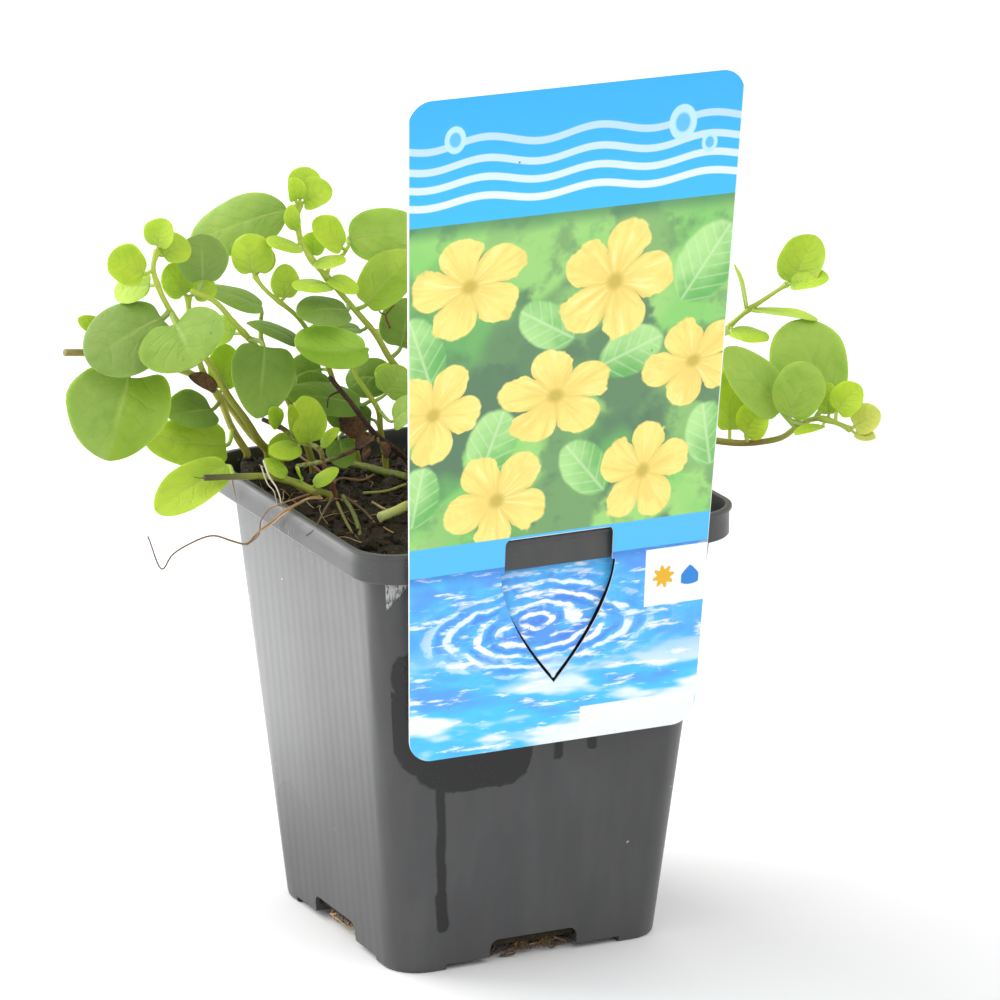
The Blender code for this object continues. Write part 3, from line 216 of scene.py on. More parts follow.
# Large leaves: name, stem, blade's base, tip, width, facing, cup, arch, how pointed the tip is,
# and the key of the leaf's tones
OWN_LEAVES = (
    ("leaf_left_big", "stem_left_cut", (-81.8, 26.5, 12.5), (-86, 8.2, 18), 24,
     (-0.2, 0.3, 0.9), 12, 1.1, 0.62, "big"),
    ("leaf_left_grey", "stem_left_high", (-74.4, 39.6, 12.5), (-90.3, 29.4, 16), 19.5,
     (-0.3, 0.4, 0.85), -12, 1.2, 0.52, "grey"),
    ("leaf_left_folded", "stem_left_high", (-71.4, 38.2, 18.5), (-67, 29, 27), 20.2,
     (-0.35, 0.6, 0.72), 12, 0.9, 0.5, "light"),
    ("leaf_left_top", "stem_left_high", (-78.4, 49.3, 15.8), (-86.2, 52.6, 18), 10,
     (-0.1, 0.45, 0.88), 16, 0.5, 0.5, "yellow"),
    ("leaf_round_grey", "stem_left_upper", (-65.4, 48, 7.5), (-65.9, 58, 7), 11.5,
     (0, 0.1, 1), -15, 0.5, 0.52, "grey"),
    ("leaf_long_top", "stem_tall", (-47, 63.4, 1.5), (-68.2, 56.2, -4), 14,
     (0.1, 0.4, 0.9), -14, 1.2, 0.56, "top"),
    ("leaf_edge_light", "stem_left_upper", (-52.4, 42, -6.5), (-64.9, 46.1, -4), 10,
     (0.1, 0.85, 0.5), -10, 0.6, 0.58, "light"),
    ("leaf_yellow_top", "stem_tall", (-34.8, 55.3, 2.6), (-41.3, 61, 6), 8.5,
     (0, 0.6, 0.8), 15, 0.4, 0.52, "yellow"),
    ("leaf_behind_card", "stem_tall", (-33.4, 57.4, -1.6), (-16.4, 58.6, -5), 13,
     (0, 0.3, 0.95), -12, 1.0, 0.55, "mid"),
    ("leaf_split_tone", "stem_tall", (-29.6, 42.8, 1.6), (-19.3, 54.2, 1), 12,
     (-0.2, 0.3, 0.9), 20, 0.5, 0.55, "split"),
    ("leaf_inner_grey", "stem_tall", (-33.7, 41.5, 4), (-44.6, 40.4, 11), 10.5,
     (0, 0.65, 0.75), -10, 0.8, 0.55, "grey"),
    ("leaf_inner_dark", "stem_tall", (-30.8, 37.2, -3.5), (-43.6, 36.2, 0), 7.2,
     (0, 0.85, 0.45), 10, 0.8, 0.6, "dark"),
    ("leaf_cup", "stem_middle_low", (-29.6, 33.2, 5), (-45, 33.6, 13), 13.5,
     (0, 0.62, 0.78), 24, -1.4, 0.5, "cup"),
    ("leaf_dark_heart", "stem_left_upper", (-51.8, 33.4, 6), (-53.4, 17.6, 10), 14.5,
     (0.2, 0.25, 0.95), 16, 0.8, 0.66, "dark"),
    ("leaf_dark_pointed", "stem_bud", (-44.8, 34.6, -2), (-55.8, 38.6, 0), 7,
     (0, 0.8, 0.5), -10, 0.8, 0.68, "dark"),
    ("leaf_low_dark", "stem_left_inner", (-63.4, 19.6, -7), (-73, 18, -1), 12,
     (0, 0.6, 0.8), 12, 0.6, 0.58, "dark"),
    ("leaf_droop_upper", "stem_left_inner", (-60.2, 11.8, -6.5), (-78, 12.4, 0), 12.5,
     (-0.1, 0.35, 0.9), 12, 0.6, 0.6, "droop"),
    ("leaf_droop_lower", "stem_runner_left", (-60, 7.4, 6.6), (-75.4, -3, 11.4), 11.5,
     (-0.2, 0.45, 0.85), 12, 0.6, 0.52, "droop"),
    ("leaf_low_wide", "stem_middle_low", (-30.8, 20.8, -4.5), (-47.4, 23.2, -1), 9.5,
     (0, 0.6, 0.75), -10, 0.8, 0.6, "dark"),
    ("leaf_low_right_a", "stem_middle_low", (-25.2, 23.2, -3.5), (-20.9, 29, -3), 8.5,
     (0.1, 0.4, 0.9), 12, 0.4, 0.58, "mid"),
    ("leaf_low_right_b", "stem_middle_low", (-23.4, 17.4, 2), (-17.2, 21.2, 6), 8.5,
     (0, 0.6, 0.8), 12, 0.5, 0.58, "mid"),
    ("leaf_edge_dark", "stem_tall", (-21.8, 33.6, -7), (-20.1, 44.2, -10), 12,
     (0.1, 0.1, 1), 14, 0.5, 0.58, "dark"),
    ("leaf_shade", "stem_bud", (-38.4, 22.2, -6.5), (-44.6, 26.6, -5), 9,
     (0, 0.6, 0.8), 10, 0.5, 0.58, "dark"),
    ("leaf_deep_middle", "stem_bud", (-35.4, 13, -10), (-34, 6.8, -6), 7,
     (0, 0.6, 0.8), 10, 0.4, 0.58, "dark"),
    ("leaf_shade_upper", "stem_bud", (-39.4, 28.6, -11.4), (-47.2, 26.4, -13), 8.5,
     (0, 0.3, 0.95), 10, 0.4, 0.58, "dark"),
    ("leaf_shade_right", "stem_tall", (-24.4, 26.8, -10.6), (-34, 26.4, -12.4), 10,
     (0, 0.4, 0.9), -10, 0.6, 0.56, "dark"),
    ("leaf_shade_low", "stem_middle_low", (-28.4, 17.6, -11), (-38.2, 18.4, -11.2), 7.5,
     (0, -0.1, 1), 8, 0.3, 0.58, "dark"),
    ("leaf_low_left", "stem_left_upper", (-44.8, 12.4, -8.8), (-50.6, 9.4, -4.4), 7,
     (0, 0.3, 0.95), 10, 0.4, 0.58, "yellow"),
    ("leaf_withered_left", "stem_left_inner", (-62.4, 24, -4), (-68.4, 27, -2), 4.5,
     (0.1, 0.6, 0.8), 30, 0.4, 0.6, "withered"),
    ("leaf_withered_middle", "stem_old_brown", (-29.8, 15, -8), (-35.2, 18.6, -7), 6.5,
     (0.1, 0.4, 0.9), -24, 0.4, 0.58, "withered"),
    ("leaf_right_large", "stem_runner_right", (70.6, 22.4, -4), (63.9, 39.6, -6), 18,
     (0.15, 0.25, 0.95), -12, 1.2, 0.52, "mid"),
    ("leaf_right_long", "stem_runner_right", (61.6, 19.8, 0.5), (49.2, 33.6, 1), 11.5,
     (0.2, 0.3, 0.9), -12, 0.8, 0.6, "mid"),
    ("leaf_right_round", "stem_runner_right", (63.4, 18.6, 5), (67.6, 30.4, 7), 11.5,
     (0, 0.25, 0.95), -12, 0.8, 0.5, "mid"),
    ("leaf_right_yellow", "stem_runner_right", (50.4, 15.6, -5.5), (49.8, 29.2, -6), 8,
     (0.3, 0.1, 0.9), 14, 0.5, 0.66, "yellow"),
    ("leaf_right_fold", "stem_runner_right", (53.6, 14.8, -2), (57.6, 20.2, 1), 8.5,
     (-0.1, 0.3, 0.95), 14, 0.4, 0.5, "yellow"),
    ("leaf_right_bud", "stem_runner_right", (73.8, 20, 6), (79, 25.4, 8), 8,
     (-0.2, 0.3, 0.9), 20, 0.4, 0.55, "yellow"),
)

# Small and young leaves, each grown on its stem, in the same form
YOUNG_LEAVES = (
    ("stem_left_high", (-75.3, 55.3, 14.4), (-73.7, 61.4, 15.2), 7.8, (-0.3, 0.2, 0.9), 30, 0.3),
    ("stem_left_high", (-74.2, 53.4, 13.4), (-68.6, 56.4, 11.2), 8.5, (0, 0.4, 0.9), 20, 0.3),
    ("stem_left_high", (-77, 46.8, 11.6), (-84.8, 45.6, 6), 8.5, (-0.1, 0.4, 0.9), 10, 0.3),
    ("stem_left_inner", (-69.3, 44.8, 2.4), (-73, 51.4, 5), 8, (0.2, 0.1, 0.95), 10, 0.3),
    ("stem_left_inner", (-67.5, 44.8, 1.2), (-62.8, 47.4, 0), 7, (0.1, 0.5, 0.8), 10, 0.3),
    ("stem_left_inner", (-61, 24.2, -10), (-60.3, 34, -10.5), 8, (0.3, 0.1, 0.9), 10, 0.3),
    ("stem_left_cut", (-86.6, 36.4, 4), (-92.8, 39.3, 6), 4.6, (-0.2, 0.5, 0.8), 10, 0.3),
    ("stem_left_upper", (-58.4, 36.4, -0.4), (-65.2, 37.6, -4), 8, (0, 0.4, 0.9), -10, 0.3),
    ("stem_tall", (-44.1, 66, 6), (-42.3, 72.8, 4.5), 8, (0, 0, 1), 45, 0.4),
    ("stem_tall", (-43.3, 65.3, 7.4), (-37.1, 68, 9), 8.5, (-0.3, 0.3, 0.8), 42, 0.4),
    ("stem_tall", (-45.1, 65.6, 8), (-46, 70.4, 10), 5.5, (0.5, 0.2, 0.8), 38, 0.3),
    ("stem_tall", (-44.8, 55.8, 7.4), (-50.8, 55.6, 13.4), 8, (0, 0.75, 0.65), -10, 0.4),
    ("stem_tall", (-41.4, 53.6, 4), (-40.8, 58.6, 2), 5.5, (0.1, 0.1, 0.95), 10, 0.3),
    ("stem_tall", (-37.4, 48.4, 4.2), (-31.4, 45.2, 7.5), 5.2, (0.3, 0.5, 0.8), 10, 0.3),
    ("stem_tall", (-38.2, 47.2, 4.6), (-45, 46, 12.6), 8, (0, 0.8, 0.55), -8, 0.4),
    ("stem_tall", (-45.4, 59, 8), (-45.9, 64.6, 10), 4.2, (-0.4, 0.2, 0.85), 10, 0.2),
    ("stem_tall", (-40.6, 52, 6), (-34.2, 52, 11.4), 5.5, (0.1, 0.6, 0.7), -10, 0.3),
    ("stem_tall", (-21.8, 26.6, -7.4), (-27.6, 28.2, -8), 6, (0, 0.5, 0.85), 10, 0.3),
    ("stem_bud", (-54.3, 49.6, 8.5), (-55.2, 58.2, 9.8), 10.4, (-0.2, 0.2, 0.9), -40, 0.6),
    ("stem_bud", (-53.2, 49.8, 7.2), (-51.8, 55.6, 4.5), 6.5, (0.1, 0.1, 0.95), 15, 0.3),
    ("stem_bud", (-47.4, 44.2, 4.2), (-47.4, 51.6, 6), 6.5, (0.1, 0.2, 0.95), 12, 0.3),
    ("stem_old_red", (-41.5, 12.6, 3.5), (-43.4, 22.6, 7), 8.4, (0.2, 0.3, 0.9), 12, 0.4),
    ("stem_old_red", (-45, 14.4, 4.4), (-46.3, 20.6, 11), 4, (0.5, 0.2, 0.8), 12, 0.2),
    ("stem_old_red", (-48.4, 16.2, 4.6), (-50.6, 19.8, 12), 4.5, (-0.2, 0.4, 0.9), 12, 0.2),
    ("stem_old_red", (-39.2, 11.8, 2.6), (-35.3, 15.4, 6), 3.5, (0, 0.5, 0.8), 12, 0.2),
    ("stem_old_red", (-44.2, 11.4, 3.4), (-50.4, 9.8, 8), 6, (0, 0.6, 0.8), -10, 0.3),
    ("stem_runner_left", (-43.6, 4.4, 5.6), (-44.2, 6.8, 9), 3.6, (-0.4, 0.4, 0.8), 12, 0.2),
    ("stem_runner_left", (-46.8, 5.2, 6.2), (-52, 8.6, 7), 4.5, (0, 0.7, 0.7), -10, 0.3),
    ("stem_runner_left", (-40.8, 3.2, 6.2), (-35.4, 6.6, 7), 4.5, (0, 0.7, 0.7), -10, 0.3),
    ("stem_right_high", (63.6, 47.8, -10), (69.2, 58.2, -8), 11, (-0.2, 0.2, 0.9), 30, 0.4),
    ("stem_right_high", (63.6, 47.8, -9.2), (71.9, 48.9, -5), 6, (-0.1, 0.5, 0.8), 24, 0.3),
    ("stem_right_high", (54, 42.4, -13.4), (51.1, 52, -12), 6.5, (0.95, 0.2, 0.15), 12, 0.3),
    ("stem_right_high", (55.4, 42, -12), (69.5, 39.7, -6), 7.5, (0, 0.95, 0.25), 10, 0.4),
    ("stem_right_high", (50.8, 37.6, -15), (58.6, 35.3, -10), 7, (0, 0.85, 0.5), -10, 0.3),
    ("stem_right_high", (44, 29.6, -18), (52.8, 27.4, -16), 5, (0, 0.8, 0.6), 10, 0.3),
    ("stem_runner_right", (72, 19.2, 3), (71.6, 26.2, 2.5), 5.5, (-0.4, 0.1, 0.9), 18, 0.3),
    ("stem_runner_right", (77.6, 16.6, 5.5), (83.3, 19.7, 7), 7.5, (-0.2, 0.3, 0.9), 24, 0.3),
    ("stem_runner_right", (77.8, 15, 5.8), (82.3, 14, 9), 3.2, (0, 0.3, 0.9), 16, 0.2),
    ("stem_runner_right", (70.6, 16.6, 3.6), (64.7, 14.6, 8), 5, (0, 0.95, 0.3), 10, 0.3),
)

# Opposite leaf pairs on the hidden stems: where along the stem, turn about it, blade length
BACK_PAIRS = {
    "stem_back_left": ((0.42, 20, 14), (0.68, 110, 13), (0.98, 30, 9)),
    "stem_back_right": ((0.42, 10, 14), (0.7, 95, 14), (0.97, 10, 10)),
    "stem_middle_high": ((0.38, 60, 14), (0.62, 150, 14), (0.84, 50, 12), (1.0, 140, 8)),
    "stem_front_right": ((0.4, 150, 13), (0.68, 60, 13), (0.97, 150, 9)),
    "stem_front_low": ((0.45, 170, 12), (0.72, 80, 12), (0.98, 170, 8)),
}
PAIR_STALK = 2.4
PAIR_SPREAD = 0.92
PAIR_WIDTH = 0.86
PAIR_CUP = -12
PAIR_ARCH = 0.8
PAIR_STEP = 5.0

ROOT_RADII = (0.6, 0.18)
ROOT_ROUTE = (
    (-39.6, 0.4, 15.5), (-42, 0.1, 22), (-44.2, -1.0, 28), (-46.6, -2.2, 28.6),
    (-48.9, -4, 22.8), (-50.6, -5.4, 19.4), (-53.2, -7.5, 16.5), (-55.7, -9.9, 15),
    (-58.5, -9.3, 15), (-62.7, -8.1, 15), (-68, -9.9, 15), (-72.1, -12.7, 16),
    (-73.7, -15.4, 17), (-77.2, -8.3, 16),
)

# Finer roots that hang over the rim beside the solid one: radius, colour, route in the view
FINE_ROOTS = (
    (0.28, "D9D2C0", ((-51.8, 8.3, 8), (-50.6, 4.9, 14), (-48.9, 2.2, 19), (-48.1, -0.3, 22.4),
                      (-47.7, -2.7, 22.6))),
    (0.2, "CFC6B2", ((-52.4, 7.2, 9), (-51, 3.4, 15), (-49.3, 0.9, 20.4), (-48.9, -1.6, 21.6))),
    (0.2, "B58C7C", ((-58.9, 5.9, 1.6), (-58.6, 3.4, 1.8), (-57.7, -0.5, 1.0))),
    (0.24, "8E6C40", ((-40.2, 1.6, 16), (-44.6, 0.2, 24.5), (-48.2, -1.1, 22.6),
                      (-51.2, -2.9, 18), (-52.5, -5.1, 16.5), (-52.8, -7.7, 16),
                      (-55.5, -10.2, 15.4))),
    (0.2, "C9A668", ((-39, 0.2, 20), (-43.6, -0.6, 27.6), (-47, -3, 28.2), (-50.2, -5.6, 20),
                     (-54.6, -8.4, 15.6))),
    (0.3, "5E4A28", ((-36.6, 0.6, 24), (-38.8, -3.1, 32), (-39.9, -5.2, 39.2),
                     (-41, -6.9, 35.6), (-42.5, -8, 33))),
)
# Roots and an old stem that lie on the soil: radius, colour, then across and up in the view and
# the height over the soil
SOIL_ROOTS = (
    (0.5, "6C7428", ((-34.4, 0.7, 2.6), (-32.2, -2.9, 1.4), (-31.1, -5.9, 0.8), (-30.5, -8.8, 0))),
    (0.35, "7E7A34", ((-35.7, -0.7, 2.2), (-34, -4.4, 1), (-32.5, -7.2, 0.2))),
    (0.3, "5A4A26", ((-33.6, 0.4, 3), (-30.2, -2.2, 1.6), (-27.4, -5.2, 0.6))),
    (0.3, "8A6A3E", ((-37.2, 2.4, 2.4), (-34.4, 4.6, 2), (-31, 4.2, 1.2), (-27.6, 5.4, 0.6))),
    (0.9, "7C8A30", ((-36, 8, 1.2), (-31, 7.4, 1.4), (-26, 6.2, 1.3), (-20.5, 5, 1))),
    (0.45, "4E3A24", ((-44.6, 10.4, 1.2), (-41, 8.6, 1.8), (-37.4, 6.8, 1.4), (-33, 6.4, 0.6))),
    (0.35, "8A5A3C", ((-47, 12.4, 1.6), (-43.6, 9.2, 2.6), (-39.4, 6, 2.2), (-36.4, 2.8, 1))),
    (0.3, "9AA04A", ((-30, 1.4, 1.4), (-25.4, 1.8, 0.9), (-20.6, 3.4, 0.6))),
    (0.26, "B59A66", ((-28, -0.6, 0.8), (-24, -2.4, 0.6), (-19.6, -2, 0.3))),
)
# Stems with colours of their own, from the soil up, and stems thinner than their solids
STEM_TONES = {
    "stem_old_brown": ("5A3A24", "4E3224", "5A4034", "4A2A1C"),
    "stem_old_red": ("7A4430", "7A4630", "8A5A3A", "B6BC68", "B6BC68", "6A4A40", "5A4038"),
    "stem_cut_short": ("98A044", "B8C060", "CCD488"),
    "stem_left_cut": ("A4A63A", "A6A43E", "B0B44A", "B4AE58", "9A8C50"),
    "stem_runner_left": ("8A8A38", "A0AC3C", "A8B444", "9CA840", "6A6A30", "4A4428"),
    "stem_runner_right": ("80842A", "848A2A", "90982E", "8A7434", "A0AC3C", "B0C04C"),
    "stem_right_high": ("A0A840", "B6C250", "BACA58"),
    "stem_left_inner": ("AEA24C", "B8B250", "B0BC44", "B2C648"),
}
THINNER = {"stem_runner_left": 0.82, "stem_old_red": 0.85, "stem_left_inner": 0.95}
# Small dry twigs on the stems: stem, radius, colour and route in the view
DRY_TWIGS = (
    ("stem_tall", 0.3, "7A4630", ((-24.3, 37.6, -4), (-25.2, 40.4, -2.4), (-23.3, 42.7, -1.8))),
    ("stem_tall", 0.24, "8A5238", ((-25.2, 40.4, -2.4), (-26.6, 41.2, -1.8), (-26.2, 43, -1.4))),
    ("stem_runner_left", 0.13, "4A4030", ((-64.7, 4.6, 13), (-66, 4.5, 13.3), (-67.3, 4.8, 13.6))),
    ("stem_old_brown", 0.3, "4A3222", ((-27.4, 14.3, -3), (-30, 12.6, -2), (-30.6, 10.2, -1))),
    ("stem_old_brown", 0.25, "6A4A2C", ((-26.8, 13.6, -3.4), (-25.4, 10.6, -2.4),
                                        (-27.4, 9.2, -1))),
    ("stem_old_brown", 0.28, "3E2A1C", ((-35, 23.8, 7.6), (-37.6, 22.4, 8.4), (-38, 20, 8.6))),
)
# Small withered blades on the dry stem: base, tip, width, facing and cup
DRY_BLADES = (
    ((-28, 13.4, -2.4), (-31.6, 11.2, -0.6), 4.2, (0.2, 0.7, 0.6), 70),
    ((-26.6, 12.6, -2.6), (-25, 9, -0.8), 3.4, (0.6, 0.2, 0.8), 80),
    ((-29.4, 12, -2), (-29.6, 8.8, 0.4), 3, (-0.5, 0.2, 0.8), -70),
)

# How finely the leaves and stems are made
LEAF_ROWS = 34
LEAF_CELLS = 16
STEM_STEP = 1.4
STEM_SIDES = 10


def linear(code):
    """The linear colour of a six-figure screen colour."""
    shares = [int(code[place:place + 2], 16) / 255 for place in (0, 2, 4)]
    return tuple(share / 12.92 if share <= 0.04045 else ((share + 0.055) / 1.055) ** 2.4
                 for share in shares)


# Leaf tones: the main one, then a second one and the part of the blade that it takes. The second
# tone is partly the leaf's own colour and partly painted light and shade on that part of the
# blade.
TONES = {
    "big": (linear("88A644"), linear("7E9E20"), "plus"),
    "light": (linear("8AA840"), linear("7EA034"), "base"),
    "top": (linear("90AE44"), linear("82A342"), "base"),
    "mid": (linear("95B542"), linear("9FBD4C"), "tip"),
    "grey": (linear("7E9A44"), linear("74923E"), "base"),
    "cup": (linear("88AE28"), linear("9CC242"), "minus"),
    # The darker tone of the leaves deep in the plant and under others: partly their own colour,
    # partly painted shade.
    "dark": (linear("6E8E2C"), linear("809F38"), "tip"),
    "yellow": (linear("B2CD2C"), linear("A2BF30"), "base"),
    "young": (linear("AFCB34"), linear("9CBB3A"), "base"),
    "droop": (linear("B4CC3E"), linear("A0BC36"), "base"),
    "split": (linear("8CAC28"), linear("9CB83C"), "plus"),
    "pale": (linear("CCD060"), linear("BAC452"), "base"),
    "withered": (linear("7A5634"), linear("4A3120"), "tip"),
}
# The young leaves of the right runner that reach further right than this are pale
PALE_FROM_X = 75.0
# How far a blade's lobes reach back, as a share of the CAD's, where it isn't the usual half
LOBE_SHARES = {"leaf_left_big": 1.0, "leaf_left_folded": 1.0, "leaf_right_large": 0.8,
               "leaf_round_grey": 0.8, "leaf_long_top": -0.4, "leaf_behind_card": 0.2}


def tint(name, description, default):
    """A colour setting, given as a screen colour's code or as linear shares."""
    default = linear(default) if isinstance(default, str) else default
    return FloatVectorProperty(name=name, description=description, subtype='COLOR', size=3,
                               min=0, max=1, default=default)


def measure(name, description, low, high, default):
    """A setting of a length in metres."""
    return FloatProperty(name=name, description=description, unit='LENGTH',
                         subtype='DISTANCE', min=low, max=high, default=default)


def share_of(name, description, high, default):
    """A setting from 0 to a highest share."""
    return FloatProperty(name=name, description=description, subtype='FACTOR', min=0,
                         max=high, default=default)


def power(name, description, default):
    """A setting of a light's power in watts."""
    return FloatProperty(name=name, description=description, unit='POWER', min=0, max=500,
                         default=default)


class PotLook(bpy.types.PropertyGroup):
    """Finish of the pot."""

    plastic: tint("Plastic", "Colour of the dry plastic", "424243")
    wet: tint("Wet plastic", "Colour of the plastic where water has run", "0C0C0D")
    roughness: share_of("Roughness", "Roughness of the moulded surface", 1, 0.36)
    rib_pitch: measure("Rib pitch", "Distance between the fine upright ribs", 0.001, 0.02,
                       0.0037)
    rib_depth: measure("Rib depth", "Depth of the fine upright ribs", 0, 0.001, 0.000011)


class SoilLook(bpy.types.PropertyGroup):
    """Finish of the soil."""

    peat: tint("Peat", "Colour of the wet peat", "271F11")
    lumps: measure("Lump height", "How far the peat's lumps stand up", 0, 0.005, 0.0012)
    grains: IntProperty(name="Grains", description="Number of loose crumbs on the soil",
                        min=0, max=3000, default=900)
    fibres: IntProperty(name="Fibres", description="Number of fine fibres on the soil",
                        min=0, max=400, default=110)


class CardLook(bpy.types.PropertyGroup):
    """Print and card of the label."""

    thickness: measure("Thickness", "Thickness of the card", 0.0001, 0.001, 0.0004)
    sky: tint("Sky", "Colour of the plain band at the top", "3FBDFA")
    water: tint("Water", "Deep colour of the water panel", "549CEE")
    petal: tint("Petal", "Light colour of the printed petals", "F6E67A")


class PlantLook(bpy.types.PropertyGroup):
    """Build of the leaves and stems."""

    blade: measure("Blade thickness", "Thickness of a large leaf's blade", 0.0001, 0.001,
                   0.00036)
    groove: measure("Midrib groove", "Depth of the groove over the midrib", 0, 0.001, 0.00022)
    wave: share_of("Edge wave", "How far a leaf's edge waves, as a share of its width", 0.1,
                   0.018)
    seed: IntProperty(name="Seed", description="Seed of the small differences between leaves",
                      min=0, default=7)


class StageLook(bpy.types.PropertyGroup):
    """Floor and light."""

    floor: tint("Floor", "Colour of the floor", (0.92, 0.92, 0.92))
    key: power("Side light", "Power of the large light on the left", 5)
    fill: power("Front light", "Power of the light beside the camera", 7)
    back: power("Back light", "Power of the wide light behind on the left", 12)
    pool: power("Floor light", "Power of the spotlight on the floor behind", 18)
    sky: FloatProperty(name="Surround", description="Strength of the even white surround",
                       min=0, max=5, default=0.94)


class Wire:
    """A node's output that takes part in sums as a number does."""

    def __init__(self, finish, socket):
        self.finish = finish
        self.socket = socket

    def __add__(self, other):
        return self.finish.maths('ADD', self, other)

    __radd__ = __add__

    def __sub__(self, other):
        return self.finish.maths('SUBTRACT', self, other)

    def __rsub__(self, other):
        return self.finish.maths('SUBTRACT', other, self)

    def __mul__(self, other):
        return self.finish.maths('MULTIPLY', self, other)

    __rmul__ = __mul__

    def __truediv__(self, other):
        return self.finish.maths('DIVIDE', self, other)

    def __rtruediv__(self, other):
        return self.finish.maths('DIVIDE', other, self)

    def __pow__(self, other):
        return self.finish.maths('POWER', self, other)

    def __neg__(self):
        return self * -1.0

    def __abs__(self):
        return self.finish.maths('ABSOLUTE', self)

    def __gt__(self, other):
        return self.finish.maths('GREATER_THAN', self, other)

    def __lt__(self, other):
        return self.finish.maths('LESS_THAN', self, other)


class Finish:
    """A procedural material and the nodes that make it."""

    def __init__(self, name):
        self.material = bpy.data.materials.new(name)
        self.material.use_nodes = True
        self.tree = self.material.node_tree
        self.shader = self.tree.nodes["Principled BSDF"]

    def put(self, socket, value):
        if isinstance(value, Wire):
            self.tree.links.new(value.socket, socket)
        elif socket.type == 'RGBA' and len(value) == 3:
            socket.default_value = (*value, 1.0)
        else:
            socket.default_value = value

    def node(self, kind, settings=None, sockets=None, output=0):
        """A node of this kind, with its settings, and its sockets' values or links."""
        made = self.tree.nodes.new(kind)
        for key, value in (settings or {}).items():
            setattr(made, key, value)
        for key, value in (sockets or {}).items():
            self.put(made.inputs[key], value)
        return Wire(self, made.outputs[output])

    def surface(self, **values):
        """Values or links of the shader's own sockets, with _ for the spaces in their names."""
        for key, value in values.items():
            self.put(self.shader.inputs[key.replace("_", " ")], value)

    def maths(self, operation, first, second=0.0):
        return self.node("ShaderNodeMath", {"operation": operation}, {0: first, 1: second})

    def sine(self, value):
        return self.maths('SINE', value)

    def fraction(self, value):
        return self.maths('FRACT', value)

    def least(self, first, second):
        return self.maths('MINIMUM', first, second)

    def most(self, first, second):
        return self.maths('MAXIMUM', first, second)

    def mix(self, share, low, high, blend='MIX'):
        """A colour between low and high."""
        return self.node("ShaderNodeMix", {"data_type": 'RGBA', "blend_type": blend},
                         {0: share, 6: low, 7: high}, 2)

    def layers(self, colour, *layers):
        """Lays tones over a colour in turn, each by its share. A tone may be a code."""
        for share, tone in layers:
            colour = self.mix(share, colour, linear(tone) if isinstance(tone, str) else tone)
        return colour

    def ease(self, value, start, end):
        """0 where value is at start, 1 where it is at end, and smooth between."""
        return self.node("ShaderNodeMapRange", {"interpolation_type": 'SMOOTHSTEP'},
                         {0: value, 1: start, 2: end})

    def vector(self, operation, first, second=(0.0, 0.0, 0.0)):
        return self.node("ShaderNodeVectorMath", {"operation": operation}, {0: first, 1: second})

    def join(self, x, y, z=0.0):
        return self.node("ShaderNodeCombineXYZ", None, {0: x, 1: y, 2: z})

    def split(self, vector):
        made = self.node("ShaderNodeSeparateXYZ", None, {0: vector}).socket.node
        return [Wire(self, output) for output in made.outputs]

    def place(self):
        """The surface's place on the object, in millimetres."""
        spot = self.node("ShaderNodeTexCoord", output=3)
        return self.vector('MULTIPLY', spot, (1 / MM,) * 3)

    def stored(self, name):
        """Three numbers that the mesh keeps at its points."""
        return self.node("ShaderNodeAttribute", {"attribute_name": name}, output=1)

    def cloud(self, place, scale, detail=2.0, roughness=0.5):
        return self.node("ShaderNodeTexNoise", None,
                         {"Vector": place, "Scale": scale, "Detail": detail,
                          "Roughness": roughness})

    def cells(self, place, scale):
        """Distance to the nearest of scattered points."""
        return self.node("ShaderNodeTexVoronoi", {"feature": 'F1'},
                         {"Vector": place, "Scale": scale})

    def bump(self, height, depth):
        """A bumped normal, where a height of 1 stands depth metres proud."""
        return self.node("ShaderNodeBump", None, {"Distance": depth, "Height": height})


def view_axes():
    """The view's directions: right, up and towards the viewer."""
    toward = Vector((math.sin(VIEW_TURN) * math.cos(VIEW_RISE),
                     -math.cos(VIEW_TURN) * math.cos(VIEW_RISE), math.sin(VIEW_RISE)))
    right = Vector((0.0, 0.0, 1.0)).cross(toward).normalized()
    return right, toward.cross(right), toward


RIGHT, UP, TOWARD = view_axes()


def seen(point):
    """A place of the view, from millimetres across, up and nearer, in the pot's axes."""
    across, up, near = point
    spread = 1 - near / VIEW_DISTANCE
    return VIEW_CENTRE + (RIGHT * across + UP * up) * spread + TOWARD * near


def facing(direction):
    """A direction of the view, across, up and nearer, in the pot's axes."""
    across, up, near = direction
    return RIGHT * across + UP * up + TOWARD * near


def smooth(points, step):
    """Points about a step apart on the smooth curve through the given points."""
    gaps = [(end - start).length for start, end in zip(points, points[1:])]
    runs = [(end - start) / gap for start, end, gap in zip(points, points[1:], gaps)]
    slopes = [runs[0]]
    for index in range(1, len(gaps)):
        before, after = gaps[index - 1:index + 1]
        slopes.append((runs[index - 1] * after + runs[index] * before) / (before + after))
    slopes.append(runs[-1])
    route = []
    for index, gap in enumerate(gaps):
        pieces = max(1, round(gap / step))
        for piece in range(pieces):
            t = piece / pieces
            ease = t * t * (3 - 2 * t)
            route.append(points[index].lerp(points[index + 1], ease)
                         + slopes[index] * gap * t * (1 - t) ** 2
                         - slopes[index + 1] * gap * t ** 2 * (1 - t))
    return route + [points[-1]]


def soil_height(x, y):
    """Height of the soil at x, y: a lumpy level with a few low heaps."""
    height = SOIL_LEVEL
    for heap_x, heap_y, rise, spread in SOIL_HEAPS:
        height += rise * math.exp(-((x - heap_x) ** 2 + (y - heap_y) ** 2) / (2 * spread ** 2))
    height += 0.5 * math.sin(x * 0.21 + 1.0) * math.cos(y * 0.17)
    height += 0.35 * math.sin(x * 0.27 - y * 0.23)
    return height


def wall_half(z):
    """Half the pot's outer width at height z, below the collar."""
    return WALL_BASE_HALF + (WALL_TOP_HALF - WALL_BASE_HALF) * z / COLLAR_BASE_Z


